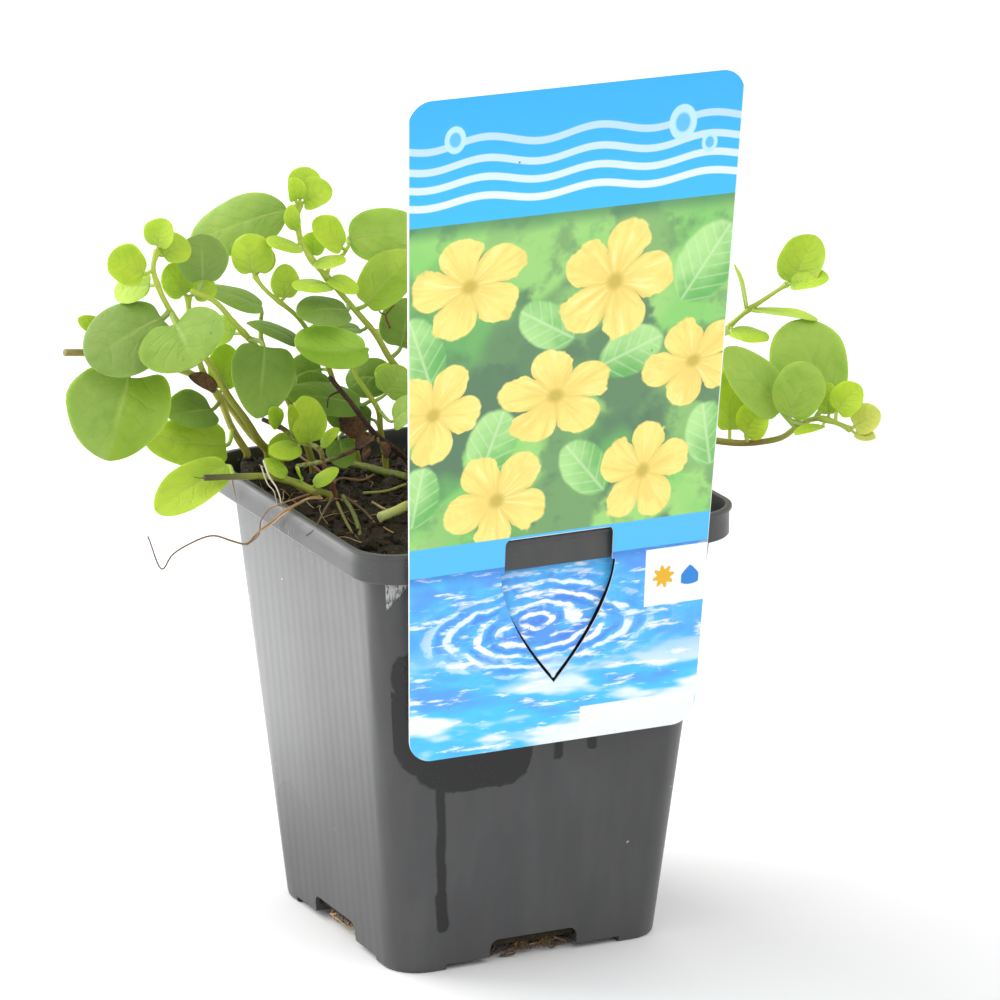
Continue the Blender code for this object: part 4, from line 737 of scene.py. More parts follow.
class Skins:
    """The closed skins of one piece, in millimetres, with what its finish reads at each point."""

    def __init__(self):
        self.points = []
        self.places = []
        self.tones = []
        self.faces = []
        self.slots = []
        self.count = 0

    def add(self, rings, ends, places, tones, slot=0):
        """A skin over equal rings, closed by a point at each end, the ends' values given last."""
        rings = np.asarray(rings, float)
        rows, cells = rings.shape[:2]
        cell = np.arange(cells)
        beside = (cell + 1) % cells
        for row in range(rows - 1):
            low = self.count + row * cells
            quads = np.stack([low + cell, low + beside, low + cells + beside,
                              low + cells + cell], 1)
            self.faces.extend(quads.tolist())
        first = self.count + rows * cells
        last = self.count + (rows - 1) * cells
        self.faces.extend(np.stack([np.full(cells, first), self.count + beside,
                                    self.count + cell], 1).tolist())
        self.faces.extend(np.stack([np.full(cells, first + 1), last + cell,
                                    last + beside], 1).tolist())
        self.slots.extend([slot] * (len(self.faces) - len(self.slots)))
        self.points.append(rings.reshape(-1, 3))
        self.points.append(np.asarray(ends, float).reshape(-1, 3))
        total = rows * cells + 2
        self.places.append(np.broadcast_to(np.asarray(places, float), (total, 3)))
        self.tones.append(np.broadcast_to(np.asarray(tones, float), (total, 3)))
        self.count += total

    def piece(self, name, finishes, flat_angle=60.0):
        """The piece as an object with its finishes and its stored values."""
        mesh = bpy.data.meshes.new(name)
        points = np.concatenate(self.points) * MM
        mesh.from_pydata(points.tolist(), [], self.faces)
        store(mesh, "place", np.concatenate(self.places))
        store(mesh, "tone", np.concatenate(self.tones))
        mesh.polygons.foreach_set("material_index", np.array(self.slots, np.int32))
        return settle(name, mesh, finishes, flat_angle)


def store(mesh, name, values):
    """Keeps three numbers at each of the mesh's points."""
    layer = mesh.attributes.new(name, 'FLOAT_VECTOR', 'POINT')
    layer.data.foreach_set("vector", np.asarray(values, np.float32).ravel())


def show(name, data):
    """A linked object of the data."""
    item = bpy.data.objects.new(name, data)
    bpy.context.scene.collection.objects.link(item)
    return item


def solid(item):
    """The mesh that the item comes to, with its modifiers or as a filled curve."""
    bpy.context.view_layer.update()
    graph = bpy.context.evaluated_depsgraph_get()
    return bpy.data.meshes.new_from_object(item.evaluated_get(graph))


def smooth_shade(mesh, flat_angle):
    """Smooth shading, except at edges sharper than the angle in degrees."""
    mesh.shade_smooth()
    mesh.set_sharp_from_angle(angle=math.radians(flat_angle))


def settle(name, mesh, finishes, flat_angle):
    """A shown object of the mesh, with outward faces, smooth except at its sharp edges."""
    bm = bmesh.new()
    bm.from_mesh(mesh)
    bmesh.ops.recalc_face_normals(bm, faces=bm.faces)
    bm.to_mesh(mesh)
    bm.free()
    for finish in finishes:
        mesh.materials.append(finish)
    smooth_shade(mesh, flat_angle)
    return show(name, mesh)


def stand_for(item, node):
    """The piece rides on the plant's one body and takes the node's place."""
    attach(item, "root")
    if node:
        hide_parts(node)
    return item


def round_rings(route, radii, sides):
    """Round rings along a route, each turned as little as can be from the last."""
    turns = np.arange(sides) * 2 * math.pi / sides
    last = len(route) - 1
    side = (route[1] - route[0]).orthogonal().normalized()
    rings = []
    for index, (place, radius) in enumerate(zip(route, radii)):
        along = (route[min(index + 1, last)] - route[max(index - 1, 0)]).normalized()
        side = (side - along * side.dot(along)).normalized()
        up = along.cross(side)
        ring = (np.array(place) + radius * (np.cos(turns)[:, None] * np.array(side)
                                            + np.sin(turns)[:, None] * np.array(up)))
        rings.append(ring)
    return np.array(rings)


def lengths_along(route):
    """How far along the route each of its points is."""
    steps = [(end - start).length for start, end in zip(route, route[1:])]
    return np.concatenate([[0.0], np.cumsum(steps)])


def add_tube(skins, route, radii, sides, tone, slot=0):
    """A round tube, whose stored place is how far along it and how far round it a point is."""
    rings = round_rings(route, radii, sides)
    rows = len(route)
    lengths = lengths_along(route)
    run = np.repeat(lengths, sides)
    turn = np.tile(np.arange(sides) / sides, rows)
    places = np.stack([run, np.cos(turn * 2 * math.pi), np.sin(turn * 2 * math.pi)], 1)
    places = np.concatenate([places, [[0, 0, 0], [lengths[-1], 0, 0]]])
    tone = np.asarray(tone, float)
    if tone.ndim == 2:
        tone = np.concatenate([np.repeat(tone, sides, 0), tone[:1], tone[-1:]])
    ends = [route[0] - (route[1] - route[0]).normalized() * radii[0] * 0.3,
            route[-1] + (route[-1] - route[-2]).normalized() * radii[-1] * 0.4]
    skins.add(rings, [list(end) for end in ends], places, tone, slot)


def nearest(routes, place):
    """The place nearest to the given one on any of the routes, the stem's end included."""
    best = None
    for route in routes:
        for start, end in zip(route, route[1:]):
            run = end - start
            share = max(0.0, min(1.0, (place - start).dot(run) / run.length_squared))
            found = start + run * share
            if best is None or (found - place).length < (best - place).length:
                best = found
    return best


def leaf_frame(node, base, tip, width, face, cup, arch, tip_shape=ROUND_TIP):
    """The leaf's own directions, from its stem's node, its base, its tip and its facing."""
    forward = (tip - base).normalized()
    normal = (face - forward * face.dot(forward)).normalized()
    return {"node": node, "base": base, "tip": tip, "width": width, "cup": math.radians(cup),
            "arch": arch, "length": (tip - base).length, "forward": forward, "normal": normal,
            "sideways": normal.cross(forward), "tip_shape": tip_shape}


def tone_over(tones, share, across):
    """The blade's colour at each point: the main tone, and the second on its own part, which is
    partly painted light and shade.
    """
    main, second, part = tones
    if part == "base":
        amount = np.clip(1 - share * 1.6, 0, 1) * (1 - 0.5 * across ** 2)
    elif part == "tip":
        amount = np.clip(share * 1.5 - 0.5, 0, 1)
    elif part == "plus":
        amount = np.clip(across * 3 + 0.5, 0, 1)
    else:
        amount = np.clip(-across * 3 + 0.5, 0, 1)
    amount = amount[..., None]
    return np.array(main) * (1 - amount) + np.array(second) * amount


def add_leaf(skins, leaf, tones, look, dice, lobe=0.5, slot=0):
    """A thin curved blade with a grooved midrib, and its stalk, which runs on as a rib."""
    base_shape = 1 - leaf["tip_shape"]
    steps = np.linspace(0.12, math.pi - 0.1, LEAF_ROWS)
    top = np.sign(np.linspace(-1, 1, LEAF_CELLS + 1)) * np.abs(
        np.linspace(-1, 1, LEAF_CELLS + 1)) ** 1.25
    across = np.concatenate([top, top[-2:0:-1]])
    side = np.concatenate([np.ones(len(top)), -np.ones(len(top) - 2)])
    share, across = np.meshgrid((1 - np.cos(steps)) / 2, across, indexing="ij")
    side = np.broadcast_to(side, share.shape)
    width = leaf["width"]
    small = min(1.0, width / 12)

    def sheet(share, across):
        """Forward, sideways and upward parts of the blade's middle."""
        narrow = ((share / base_shape) ** base_shape
                  * ((1 - share) / leaf["tip_shape"]) ** leaf["tip_shape"])
        half = width / 2 * narrow
        half = half * (1 + 0.022 * np.sin(share * waves[3] + waves[2] * np.sign(across)))
        bend = leaf["cup"] * narrow
        bend = np.where(np.abs(bend) < 0.01, 0.01, bend)
        reach = half * np.sin(bend * across) / bend
        lift = half * (1 - np.cos(bend * across)) / bend
        back = (LOBE * lobe * width * across ** 2 * (1 - share) ** 4
                * (1 - np.exp(-share / 0.03)))
        lift = lift + leaf["arch"] * 4 * share * (1 - share)
        wave = np.sin(share * waves[0] + waves[1] * np.sign(across) + waves[2])
        lift = lift + look.wave * width * wave * np.abs(across) ** 2.5 * (1 - share ** 4)
        reach = reach + skew * width * np.sin(math.pi * share)
        return leaf["length"] * share - back, reach, lift

    waves = (dice.uniform(5, 9), dice.uniform(0.5, 2.5), dice.uniform(0, 6.3),
             dice.uniform(7, 12))
    skew = dice.uniform(-0.012, 0.012)
    ahead, reach, lift = sheet(share, across)
    thick = look.blade / MM * (0.55 + 0.45 * small) / 2 * (1 - across ** 6) * side
    groove = look.groove / MM * small * np.exp(-(reach / (0.05 * width + 0.15)) ** 2)
    groove = groove * (1 - share) ** 0.5 * np.clip(share * 8, 0, 1)
    lift = lift + thick - groove

    axes = [np.array(leaf[key]) for key in ("forward", "sideways", "normal")]
    rings = (np.array(leaf["base"]) + ahead[..., None] * axes[0]
             + reach[..., None] * axes[1] + lift[..., None] * axes[2])
    places = np.stack([share, across, side], -1).reshape(-1, 3)
    places = np.concatenate([places, [[0, 0, 1], [1, 0, 1]]])
    colours = tone_over(tones, share, across).reshape(-1, 3)
    colours = np.concatenate([colours, colours[:1], colours[-1:]])
    skins.add(rings, [list(leaf["base"]), list(leaf["tip"])], places, colours, slot)

    radius = 0.24 + 0.02 * width
    under = []
    for part in (0.0, 0.1, 0.25, 0.45, 0.7):
        ahead, reach, lift = sheet(np.array(part + 1e-4), np.array(0.0))
        lower = radius * (0.75 - 0.45 * part)
        under.append(Vector(np.array(leaf["base"]) + float(ahead) * axes[0]
                            + float(reach) * axes[1] + (float(lift) - lower) * axes[2]))
    route = smooth([leaf["node"]] + under, 1.2)
    rib = np.linspace(0, 1, len(route))
    radii = radius * (1.12 - 0.95 * rib ** 1.4)
    pale = np.array(tones[0]) * 0.65 + np.array(linear("B9CC62")) * 0.35
    add_tube(skins, route, radii, 8, pale, slot or 1)


def pairs_of(name, route):
    """The opposite pairs of a hidden stem, each turned a quarter from the last."""
    total = len(route) - 1
    leaves = []
    for share, turn, length in BACK_PAIRS[name]:
        index = min(total - 1, int(share * total))
        node = route[index].lerp(route[index + 1], share * total - index)
        along = (route[index + 1] - route[index]).normalized()
        first = along.orthogonal().normalized()
        first.rotate(Matrix.Rotation(math.radians(turn), 3, along))
        for outward in (first, -first):
            reach = (outward * PAIR_SPREAD + along * (1 - PAIR_SPREAD)
                     + Vector((0, 0, 0.12))).normalized()
            base = node + reach * PAIR_STALK
            leaves.append(leaf_frame(node, base, base + reach * length, length * PAIR_WIDTH,
                                     along, PAIR_CUP, PAIR_ARCH))
    return leaves


def on_soil(places, radius):
    """The route with its foot moved to lie just clear of the soil."""
    places[0].z = soil_height(places[0].x, places[0].y) + radius + GAP
    return places


def stem_routes():
    """Each stem's routes, the main one first, as the CAD source lays them."""
    routes = {}
    for name, (low, _, main, *twigs) in STEMS.items():
        routes[name] = [on_soil([seen(point) for point in main], low)]
        routes[name] += [[seen(point) for point in twig] for twig in twigs]
    for name, (low, _, main) in BACK_STEMS.items():
        routes[name] = [on_soil([Vector(point) for point in main], low)]
    return routes


def leaf_material():
    """Fresh leaf: soft green with faint curved veins and a paler underside."""
    leaf = Finish("leaf_fresh")
    share, across, side = leaf.split(leaf.stored("place"))
    tone = leaf.stored("tone")
    place = leaf.place()
    reach = abs(across)
    wobble = leaf.cloud(place, 0.22, 2.0)
    phase = leaf.fraction((share - 0.4 * reach ** 1.2) * 4.3 + wobble * 1.3 + across * 0.4)
    gap = abs(phase - 0.5)
    inner = leaf.ease(reach, 0.95, 0.5) * leaf.ease(share, 0.96, 0.7)
    vein = leaf.ease(gap, 0.16, 0.0) * inner
    midrib = leaf.ease(reach, 0.09, 0.0) * leaf.ease(share, 0.9, 0.3)
    mottle = leaf.cloud(place, 0.16, 4.0, 0.62)
    fine = leaf.cloud(place, 1.7, 4.0, 0.7)
    deep = leaf.mix(1.0, tone, (0.6, 0.74, 0.42), 'MULTIPLY')
    lit = leaf.mix(1.0, tone, (1.28, 1.16, 1.3), 'MULTIPLY')
    colour = leaf.mix(leaf.ease(mottle, 0.46, 0.74) * 0.5, tone, deep)
    colour = leaf.layers(
        colour,
        (leaf.ease(mottle, 0.46, 0.26) * 0.6, lit),
        (vein * 0.13, deep),
        (midrib * 0.26, "B4CC6A"),
        (leaf.ease(fine, 0.5, 0.85) * 0.16, deep))
    speck = leaf.ease(leaf.cells(place, 0.3), 0.1, 0.05) * (leaf.cloud(place, 0.6) > 0.62)
    colour = leaf.layers(
        colour,
        (speck * 0.6, "55501F"),
        (leaf.ease(reach, 0.975, 1.0) * 0.25, "8A7A3A"),
        (leaf.ease(side, 0.0, -0.2) * 0.35, "A3BF70"))
    relief = vein * -0.25 + midrib * -0.3 + fine * 0.35 + mottle * 1.6
    leaf.surface(Base_Color=colour, Roughness=0.4 + 0.2 * fine,
                 Normal=leaf.bump(relief, 0.00024), Subsurface_Weight=0.3,
                 Subsurface_Radius=(0.7, 1.0, 0.25), Subsurface_Scale=0.0005,
                 Specular_IOR_Level=0.34)
    return leaf.material


def stem_material():
    """Living stem: pale yellow-green with fine lengthwise lines, redder where it is old."""
    stem = Finish("stem_green")
    tone = stem.stored("tone")
    run, turn_a, turn_b = stem.split(stem.stored("place"))
    line = stem.cloud(stem.join(run * 0.05, turn_a, turn_b), 5.0, 3.0, 0.6)
    blotch = stem.cloud(stem.place(), 0.5, 3.0, 0.6)
    colour = stem.mix(stem.ease(line, 0.42, 0.62) * 0.45, tone,
                      stem.mix(1.0, tone, (0.62, 0.66, 0.5), 'MULTIPLY'))
    colour = stem.mix(stem.ease(blotch, 0.55, 0.75) * 0.3, colour, linear("8A6A3C"))
    stem.surface(Base_Color=colour, Roughness=0.4 + 0.2 * line,
                 Normal=stem.bump(line * 0.7 + blotch * 0.4, 0.00015),
                 Subsurface_Weight=0.15, Subsurface_Radius=(0.8, 1.0, 0.3),
                 Subsurface_Scale=0.0008)
    return stem.material


def withered_material():
    """Dry brown tissue of dead stems and withered leaves."""
    dry = Finish("withered_brown")
    tone = dry.stored("tone")
    place = dry.place()
    crease = dry.cloud(place, 1.4, 4.0, 0.65)
    patch = dry.cloud(place, 0.4, 2.0)
    colour = dry.mix(dry.ease(crease, 0.35, 0.65), tone,
                     dry.mix(1.0, tone, (0.45, 0.42, 0.4), 'MULTIPLY'))
    colour = dry.mix(dry.ease(patch, 0.55, 0.7) * 0.4, colour, linear("8A6238"))
    dry.surface(Base_Color=colour, Roughness=0.6 + 0.3 * crease,
                Normal=dry.bump(crease, 0.0005))
    return dry.material


def root_material():
    """Fine pale tan root."""
    root = Finish("root_tan")
    tone = root.stored("tone")
    run, turn_a, turn_b = root.split(root.stored("place"))
    line = root.cloud(root.join(run * 0.25, turn_a, turn_b), 3.0, 3.0, 0.6)
    colour = root.mix(root.ease(line, 0.4, 0.65) * 0.6, tone,
                      root.mix(1.0, tone, (0.55, 0.45, 0.35), 'MULTIPLY'))
    root.surface(Base_Color=colour, Roughness=0.55 + 0.2 * line,
                 Normal=root.bump(line, 0.0001))
    return root.material


def shared(name, maker):
    """The material of this name, made the first time that it is asked for."""
    return bpy.data.materials.get(name) or maker()


def square_ring(half, radius, z, corner_steps=8, side_steps=14):
    """Points of a rounded square at height z."""
    radius = min(radius, half)
    flat = half - radius
    points = []
    for corner in range(4):
        turn = corner * math.pi / 2
        cos_turn, sin_turn = math.cos(turn), math.sin(turn)
        local = []
        for step in range(side_steps):
            local.append((half, -flat + 2 * flat * step / side_steps))
        for step in range(corner_steps):
            angle = math.pi / 2 * step / corner_steps
            local.append((flat + radius * math.cos(angle), flat + radius * math.sin(angle)))
        points += [(x * cos_turn - y * sin_turn, x * sin_turn + y * cos_turn, z)
                   for x, y in local]
    return points


def pot_profile():
    """Half width, height and corner radius from the foot, over the lip, down to the floor."""
    rows = list(FOOT_PROFILE)
    rows += [(wall_half(z), z, WALL_RADIUS) for z in np.linspace(1.0, 91.6, 34)]
    rows += RIM_PROFILE
    inner = WALL_RADIUS - WALL_THICKNESS
    rows += [(wall_half(z) - WALL_THICKNESS, z, inner) for z in np.linspace(91.0, 4.0, 10)]
    rows += FLOOR_PROFILE
    return rows


def box_cutter(name, low, high):
    """A box between two corners, to cut with."""
    bm = bmesh.new()
    bmesh.ops.create_cube(bm, size=1.0)
    for vertex in bm.verts:
        vertex.co = Vector([(low[axis] if vertex.co[axis] < 0 else high[axis]) * MM
                            for axis in range(3)])
    mesh = bpy.data.meshes.new(name)
    bm.to_mesh(mesh)
    bm.free()
    return show(name, mesh)


def cut(item, cutters):
    """Cuts the shapes out of the item for good."""
    for cutter in cutters:
        step = item.modifiers.new(cutter.name, 'BOOLEAN')
        step.operation = 'DIFFERENCE'
        step.solver = 'EXACT'
        step.object = cutter
    mesh = solid(item)
    item.modifiers.clear()
    item.data = mesh
    for cutter in cutters:
        bpy.data.objects.remove(cutter, do_unlink=True)


def pot_cutters():
    """What is cut from the pot: the gaps between the feet, the slot and the drain notches."""
    wide = WALL_BASE_HALF + OVERCUT
    narrow = FOOT_GAP_WIDTH / 2
    cutters = [
        box_cutter("under_x", (-wide, -narrow, -OVERCUT), (wide, narrow, FOOT_HEIGHT)),
        box_cutter("under_y", (-narrow, -wide, -OVERCUT), (narrow, wide, FOOT_HEIGHT)),
        box_cutter("slot", (WINDOW_MIDDLE - SLOT_WIDTH / 2, SLOT_MIDDLE_Y - SLOT_DEPTH / 2,
                            COLLAR_BASE_Z - OVERCUT),
                   (WINDOW_MIDDLE + SLOT_WIDTH / 2, SLOT_MIDDLE_Y + SLOT_DEPTH / 2,
                    COLLAR_BASE_Z + OVERCUT)),
    ]
    inside = WALL_BASE_HALF - DRAIN_DEPTH
    for turn in range(4):
        drain = box_cutter("drain_%d" % turn, (-DRAIN_WIDTH / 2, -wide, -1),
                           (DRAIN_WIDTH / 2, -inside, DRAIN_TOP_Z))
        bm = bmesh.new()
        bm.from_mesh(drain.data)
        upper = [e for e in bm.edges if all(v.co.z > 0 for v in e.verts)
                 and abs(e.verts[0].co.y - e.verts[1].co.y) > MM]
        bmesh.ops.bevel(bm, geom=upper, offset=2.0 * MM, segments=5, profile=0.5,
                        affect='EDGES', clamp_overlap=True)
        bm.to_mesh(drain.data)
        bm.free()
        drain.rotation_euler.z = turn * math.pi / 2
        cutters.append(drain)
    return cutters


# The wet mark on the front wall: strokes from one place to another, across and up, with a radius
WET_STROKES = (
    ((-31.0, 72.0), (-31.0, 57.0), 4.7),
    ((-39.4, 65.6), (-34.0, 64.8), 0.9),
    ((-37.0, 62.4), (-33.0, 59.0), 1.5),
    ((-28.6, 55.6), (-25.0, 49.6), 6.5),
    ((-22.0, 48.8), (-8.8, 48.9), 6.9),
    ((-24.4, 46.0), (-23.0, 17.0), 1.15),
    ((-23.0, 18.0), (-22.2, 10.6), 1.5),
    ((3.5, 52.0), (3.6, 47.2), 1.1),
    ((11.6, 52.0), (11.8, 48.2), 1.2),
)


def stroke(finish, across, up, start, end):
    """Distance from a straight stroke on the wall."""
    run = (end[0] - start[0], end[1] - start[1])
    long = run[0] ** 2 + run[1] ** 2
    share = ((across - start[0]) * run[0] + (up - start[1]) * run[1]) / long
    share = finish.most(finish.least(share, 1.0), 0.0)
    aside = across - start[0] - share * run[0]
    above = up - start[1] - share * run[1]
    return (aside * aside + above * above) ** 0.5


def pot_material(look):
    """Dark moulded plastic with fine upright ribs, a wet mark, lime, a few specks and a painted
    sheen on the left wall.
    """
    pot = Finish("pot_plastic")
    place = pot.place()
    x, y, z = pot.split(place)
    normal = pot.split(pot.node("ShaderNodeNewGeometry", output=1))
    on_side = pot.ease(abs(normal[0]) - abs(normal[1]), -0.05, 0.05)
    along = x * (1 - on_side) + y * on_side
    upright = pot.ease(abs(normal[2]), 0.5, 0.3) * pot.ease(z, COLLAR_BASE_Z, 92.0)
    rib = pot.sine(along * (2 * math.pi * MM / look.rib_pitch)) * upright
    broad = pot.cloud(pot.join(along * 0.12, z * 0.03, on_side * 9.0), 1.0, 2.0)
    grain = pot.cloud(place, 3.2, 3.0, 0.65)
    smear = pot.cloud(pot.join(x * 0.2, y * 0.2, z * 0.06), 1.0, 4.0, 0.6)

    front = (y < -20.0) * pot.ease(on_side, 0.2, 0.0)
    warp_x = pot.cloud(place, 0.16, 3.0) * 5.0 - 2.5
    warp_z = pot.cloud(pot.vector('ADD', place, (40.0, 0.0, 0.0)), 0.16, 3.0) * 4.0 - 2.0
    wet = None
    for start, end, radius in WET_STROKES:
        reach = stroke(pot, x + warp_x * min(1.0, radius / 4), z + warp_z, start, end)
        mark = pot.ease(reach, radius + 0.35, radius - 0.35)
        wet = mark if wet is None else pot.most(wet, mark)
    wet = wet * front

    streak = pot.cloud(pot.join(x * 1.3, y * 1.3, z * 0.55), 1.0, 5.0, 0.75)
    near = pot.least(stroke(pot, x, z, (-42.6, 92.6), (-29.5, 92.4)) * 2.2,
                     pot.most(abs(x + 38.3) - (z - 86.6) * 0.68, 0.0) * 2.4)
    lime = pot.ease(streak * 3.6 - near * 0.62, 0.6, 1.3) * front * (z < COLLAR_BASE_Z)
    lime = lime * pot.ease(pot.cloud(pot.join(x * 2.2, y, z * 0.8), 1.0, 4.0, 0.75), 0.38, 0.55)
    rub = pot.ease(pot.cloud(pot.join(x * 0.5, y * 0.5, z * 2.0), 1.0, 5.0, 0.75), 0.6, 0.8)
    rub = rub * pot.ease(z, 94.0, 96.0) * (y < -40.0)
    crease = pot.ease(pot.cloud(pot.join(x * 0.2, y * 1.1, z * 0.35), 1.0, 3.0, 0.7), 0.6, 0.66)
    crease = crease * (x < -40.0) * pot.ease(abs(y), 9.0, 4.0) * pot.ease(z, 86.0, 91.0)
    tide = pot.cloud(place, 0.12, 3.0) * 6.0 - 3.0
    tide = ((y - 18.0) ** 2.0 + ((z - 8.0) * 0.85) ** 2.0) ** 0.5 + tide
    tide_line = pot.ease(abs(tide - 17.0), 0.7, 0.1) * (x < -30.0)
    tide_in = pot.ease(tide, 17.3, 16.7) * (x < -30.0)
    specks = pot.ease(pot.cells(place, 0.16), 0.075, 0.035) * (pot.cloud(place, 0.31) > 0.6)

    colour = pot.mix(pot.ease(smear, 0.35, 0.75) * 0.3, look.plastic[:], linear("525354"))
    colour = pot.mix(pot.ease(broad, 0.4, 0.6) * 0.3, colour, linear("37383A"))
    # Painted sheen: a lighter grey on the left wall, stronger towards the back and the top, that
    # stands in for the wall's reflection of the bright floor, patchy with the smear noise.
    painted_sheen = pot.ease(y, -12.0, 34.0) * pot.ease(z, 4.0, 52.0) * pot.ease(normal[0], -0.6, -0.97)
    painted_sheen = painted_sheen * (x < 0.0) * (0.5 + 0.5 * smear)
    colour = pot.layers(
        colour,
        (painted_sheen * 0.6, "77787A"),
        (wet, look.wet[:]),
        (tide_in * 0.22 + tide_line * 0.3, "38383A"),
        (lime * 0.75 + rub * 0.3 + crease * 0.35, "C4C5C4"),
        (specks * 0.7, "C8C8C4"))
    rough = look.roughness + 0.14 * (smear - 0.5) + 0.08 * (grain - 0.5) + lime * 0.3
    rough = rough - wet * 0.1
    height = rib * 0.5 * (1 - lime * 0.5) + grain * 0.1 + broad * 0.6 + crease * 0.8
    pot.surface(Base_Color=colour, Roughness=rough,
                Normal=pot.bump(height, look.rib_depth * 2), Specular_IOR_Level=0.5)
    return pot.material


def soil_material(look):
    """Dark wet peat with lighter crumbs and damp glints."""
    soil = Finish("soil_peat")
    place = soil.place()
    lumps = soil.cloud(place, 0.6, 6.0, 0.7)
    crumbs = soil.cells(place, 1.1)
    tone = soil.stored("tone")
    moss = soil.cloud(place, 0.13, 3.0, 0.6)
    colour = soil.mix(soil.ease(lumps, 0.45, 0.75), look.peat[:], linear("44361A"))
    colour = soil.layers(
        colour,
        (soil.ease(crumbs, 0.35, 0.1) * 0.35, "0E0B06"),
        (soil.ease(moss, 0.55, 0.7) * 0.4, "2E301A"))
    colour = soil.mix(1.0, colour, tone, 'MULTIPLY')
    soil.surface(Base_Color=colour, Roughness=0.62 + 0.3 * lumps,
                 Normal=soil.bump(lumps + crumbs * 0.5, 0.0009), Specular_IOR_Level=0.3)
    return soil.material


def card_frame():
    """The way from the card's plane, across, up and proud, to the pot's axes, in metres."""
    across = Vector((1.0, 0.0, 0.0))
    up = Vector((0.0, -math.sin(CARD_LEAN), math.cos(CARD_LEAN)))
    proud = across.cross(up)
    place = Matrix((across, up, proud)).transposed().to_4x4()
    place.translation = Vector(CARD_PASS) * MM
    return place


def card_outline():
    """The card's rounded outline, narrower at its foot."""
    corners = ((CARD_MIDDLE - CARD_BOTTOM_HALF, CARD_BOTTOM),
               (CARD_MIDDLE + CARD_BOTTOM_HALF, CARD_BOTTOM),
               (CARD_MIDDLE + CARD_TOP_HALF, CARD_TOP),
               (CARD_MIDDLE - CARD_TOP_HALF, CARD_TOP))
    points = []
    for index, (x, y) in enumerate(corners):
        side_x = 1 if x < CARD_MIDDLE else -1
        side_y = 1 if y < 0 else -1
        centre = (x + side_x * CARD_CORNER, y + side_y * CARD_CORNER)
        first = math.radians(180 + 90 * index)
        for step in range(CARD_CORNER_STEPS + 1):
            turn = first + math.radians(90) * step / CARD_CORNER_STEPS
            points.append((centre[0] + CARD_CORNER * math.cos(turn),
                           centre[1] + CARD_CORNER * math.sin(turn)))
    return points


def shield_half(up):
    """Half the tongue's width at a height in the card's plane."""
    down = (SHOULDER - up) / (SHOULDER - SHIELD_TIP)
    if down <= 0:
        return SHIELD_HALF
    return SHIELD_HALF * (1 - min(down, 1.0) ** SHIELD_POWER)


def window_outline():
    """The hole that the tongue is folded out of: a window over a shield."""
    right = []
    for step in range(5):
        turn = math.radians(90 - 22.5 * step)
        right.append((WINDOW_HALF - WINDOW_CORNER * (1 - math.cos(turn)),
                      WINDOW_TOP - WINDOW_CORNER * (1 - math.sin(turn))))
    right.append((WINDOW_HALF, SHOULDER))
    for step in range(SHIELD_STEPS):
        up = SHOULDER + (SHIELD_TIP - SHOULDER) * step / SHIELD_STEPS
        right.append((shield_half(up), up))
    left = [(-x, y) for x, y in reversed(right)]
    points = right + [(0.0, SHIELD_TIP)] + left
    return [(WINDOW_MIDDLE + x, y) for x, y in points]


def card_sheet(look):
    """The flat card as a mesh in its own plane, with its softened edge."""
    data = bpy.data.curves.new("card_outline", 'CURVE')
    data.dimensions = '2D'
    data.fill_mode = 'BOTH'
    edge = look.thickness * 0.2
    data.extrude = look.thickness / 2 - edge
    data.bevel_depth = edge
    data.bevel_resolution = 1
    data.offset = -edge
    for points in (card_outline(), window_outline()):
        spline = data.splines.new('POLY')
        spline.points.add(len(points) - 1)
        for point, (x, y) in zip(spline.points, points):
            point.co = (x * MM, y * MM, 0.0, 1.0)
        spline.use_cyclic_u = True
    item = show("card_outline", data)
    mesh = solid(item)
    bpy.data.objects.remove(item, do_unlink=True)
    bm = bmesh.new()
    bm.from_mesh(mesh)
    bmesh.ops.remove_doubles(bm, verts=bm.verts, dist=0.000004)
    bmesh.ops.recalc_face_normals(bm, faces=bm.faces)
    bm.to_mesh(mesh)
    bm.free()
    points = np.array([vertex.co[:] for vertex in mesh.vertices]) / MM
    mesh.transform(card_frame())
    return mesh, points


def tongue_skin(look):
    """The card's tongue: over the collar, down through the slot, and in front of the wall."""
    places = [Vector((0.0, y - 0.9 * min(1.0, max(0.0, (92.0 - z) / 3.5)), z))
              for y, z in TONGUE_ROUTE]
    route = smooth(places, 0.8)
    lengths = lengths_along(route)
    thick = look.thickness / MM / 2
    cells = 12
    rings, values = [], []
    for index, place in enumerate(route):
        up = WINDOW_TOP - lengths[index] * (WINDOW_TOP - SHIELD_TIP) / lengths[-1]
        half = min(WINDOW_HALF, shield_half(up)) if up > SHOULDER else shield_half(up)
        half = max(half - TONGUE_TRIM * 0.3, 0.2)
        reaches = np.linspace(-1.03, 1.12, cells + 1) * half
        along = (route[min(index + 1, len(route) - 1)] - route[max(index - 1, 0)]).normalized()
        out = Vector((0.0, along.z, -along.y))
        out = -out if out.y > 0 or (abs(out.y) < 0.3 and out.z < 0) else out
        ring, value = [], []
        for side, order in ((1, range(cells + 1)), (-1, range(cells, -1, -1))):
            for cell in order:
                across = reaches[cell]
                spot = place + out * thick * side
                ring.append((WINDOW_MIDDLE + across, spot.y, spot.z))
                value.append((WINDOW_MIDDLE + across, up, side * thick))
        rings.append(ring)
        values.append(value)
    ends = [(WINDOW_MIDDLE, route[0].y, route[0].z), (WINDOW_MIDDLE, route[-1].y, route[-1].z)]
    values = np.array(values).reshape(-1, 3)
    values = np.concatenate([values, [[WINDOW_MIDDLE, WINDOW_TOP, 0],
                                      [WINDOW_MIDDLE, SHIELD_TIP, 0]]])
    return rings, ends, values


# White of the printed waves and rings
FOAM = (0.93, 0.98, 1.0)
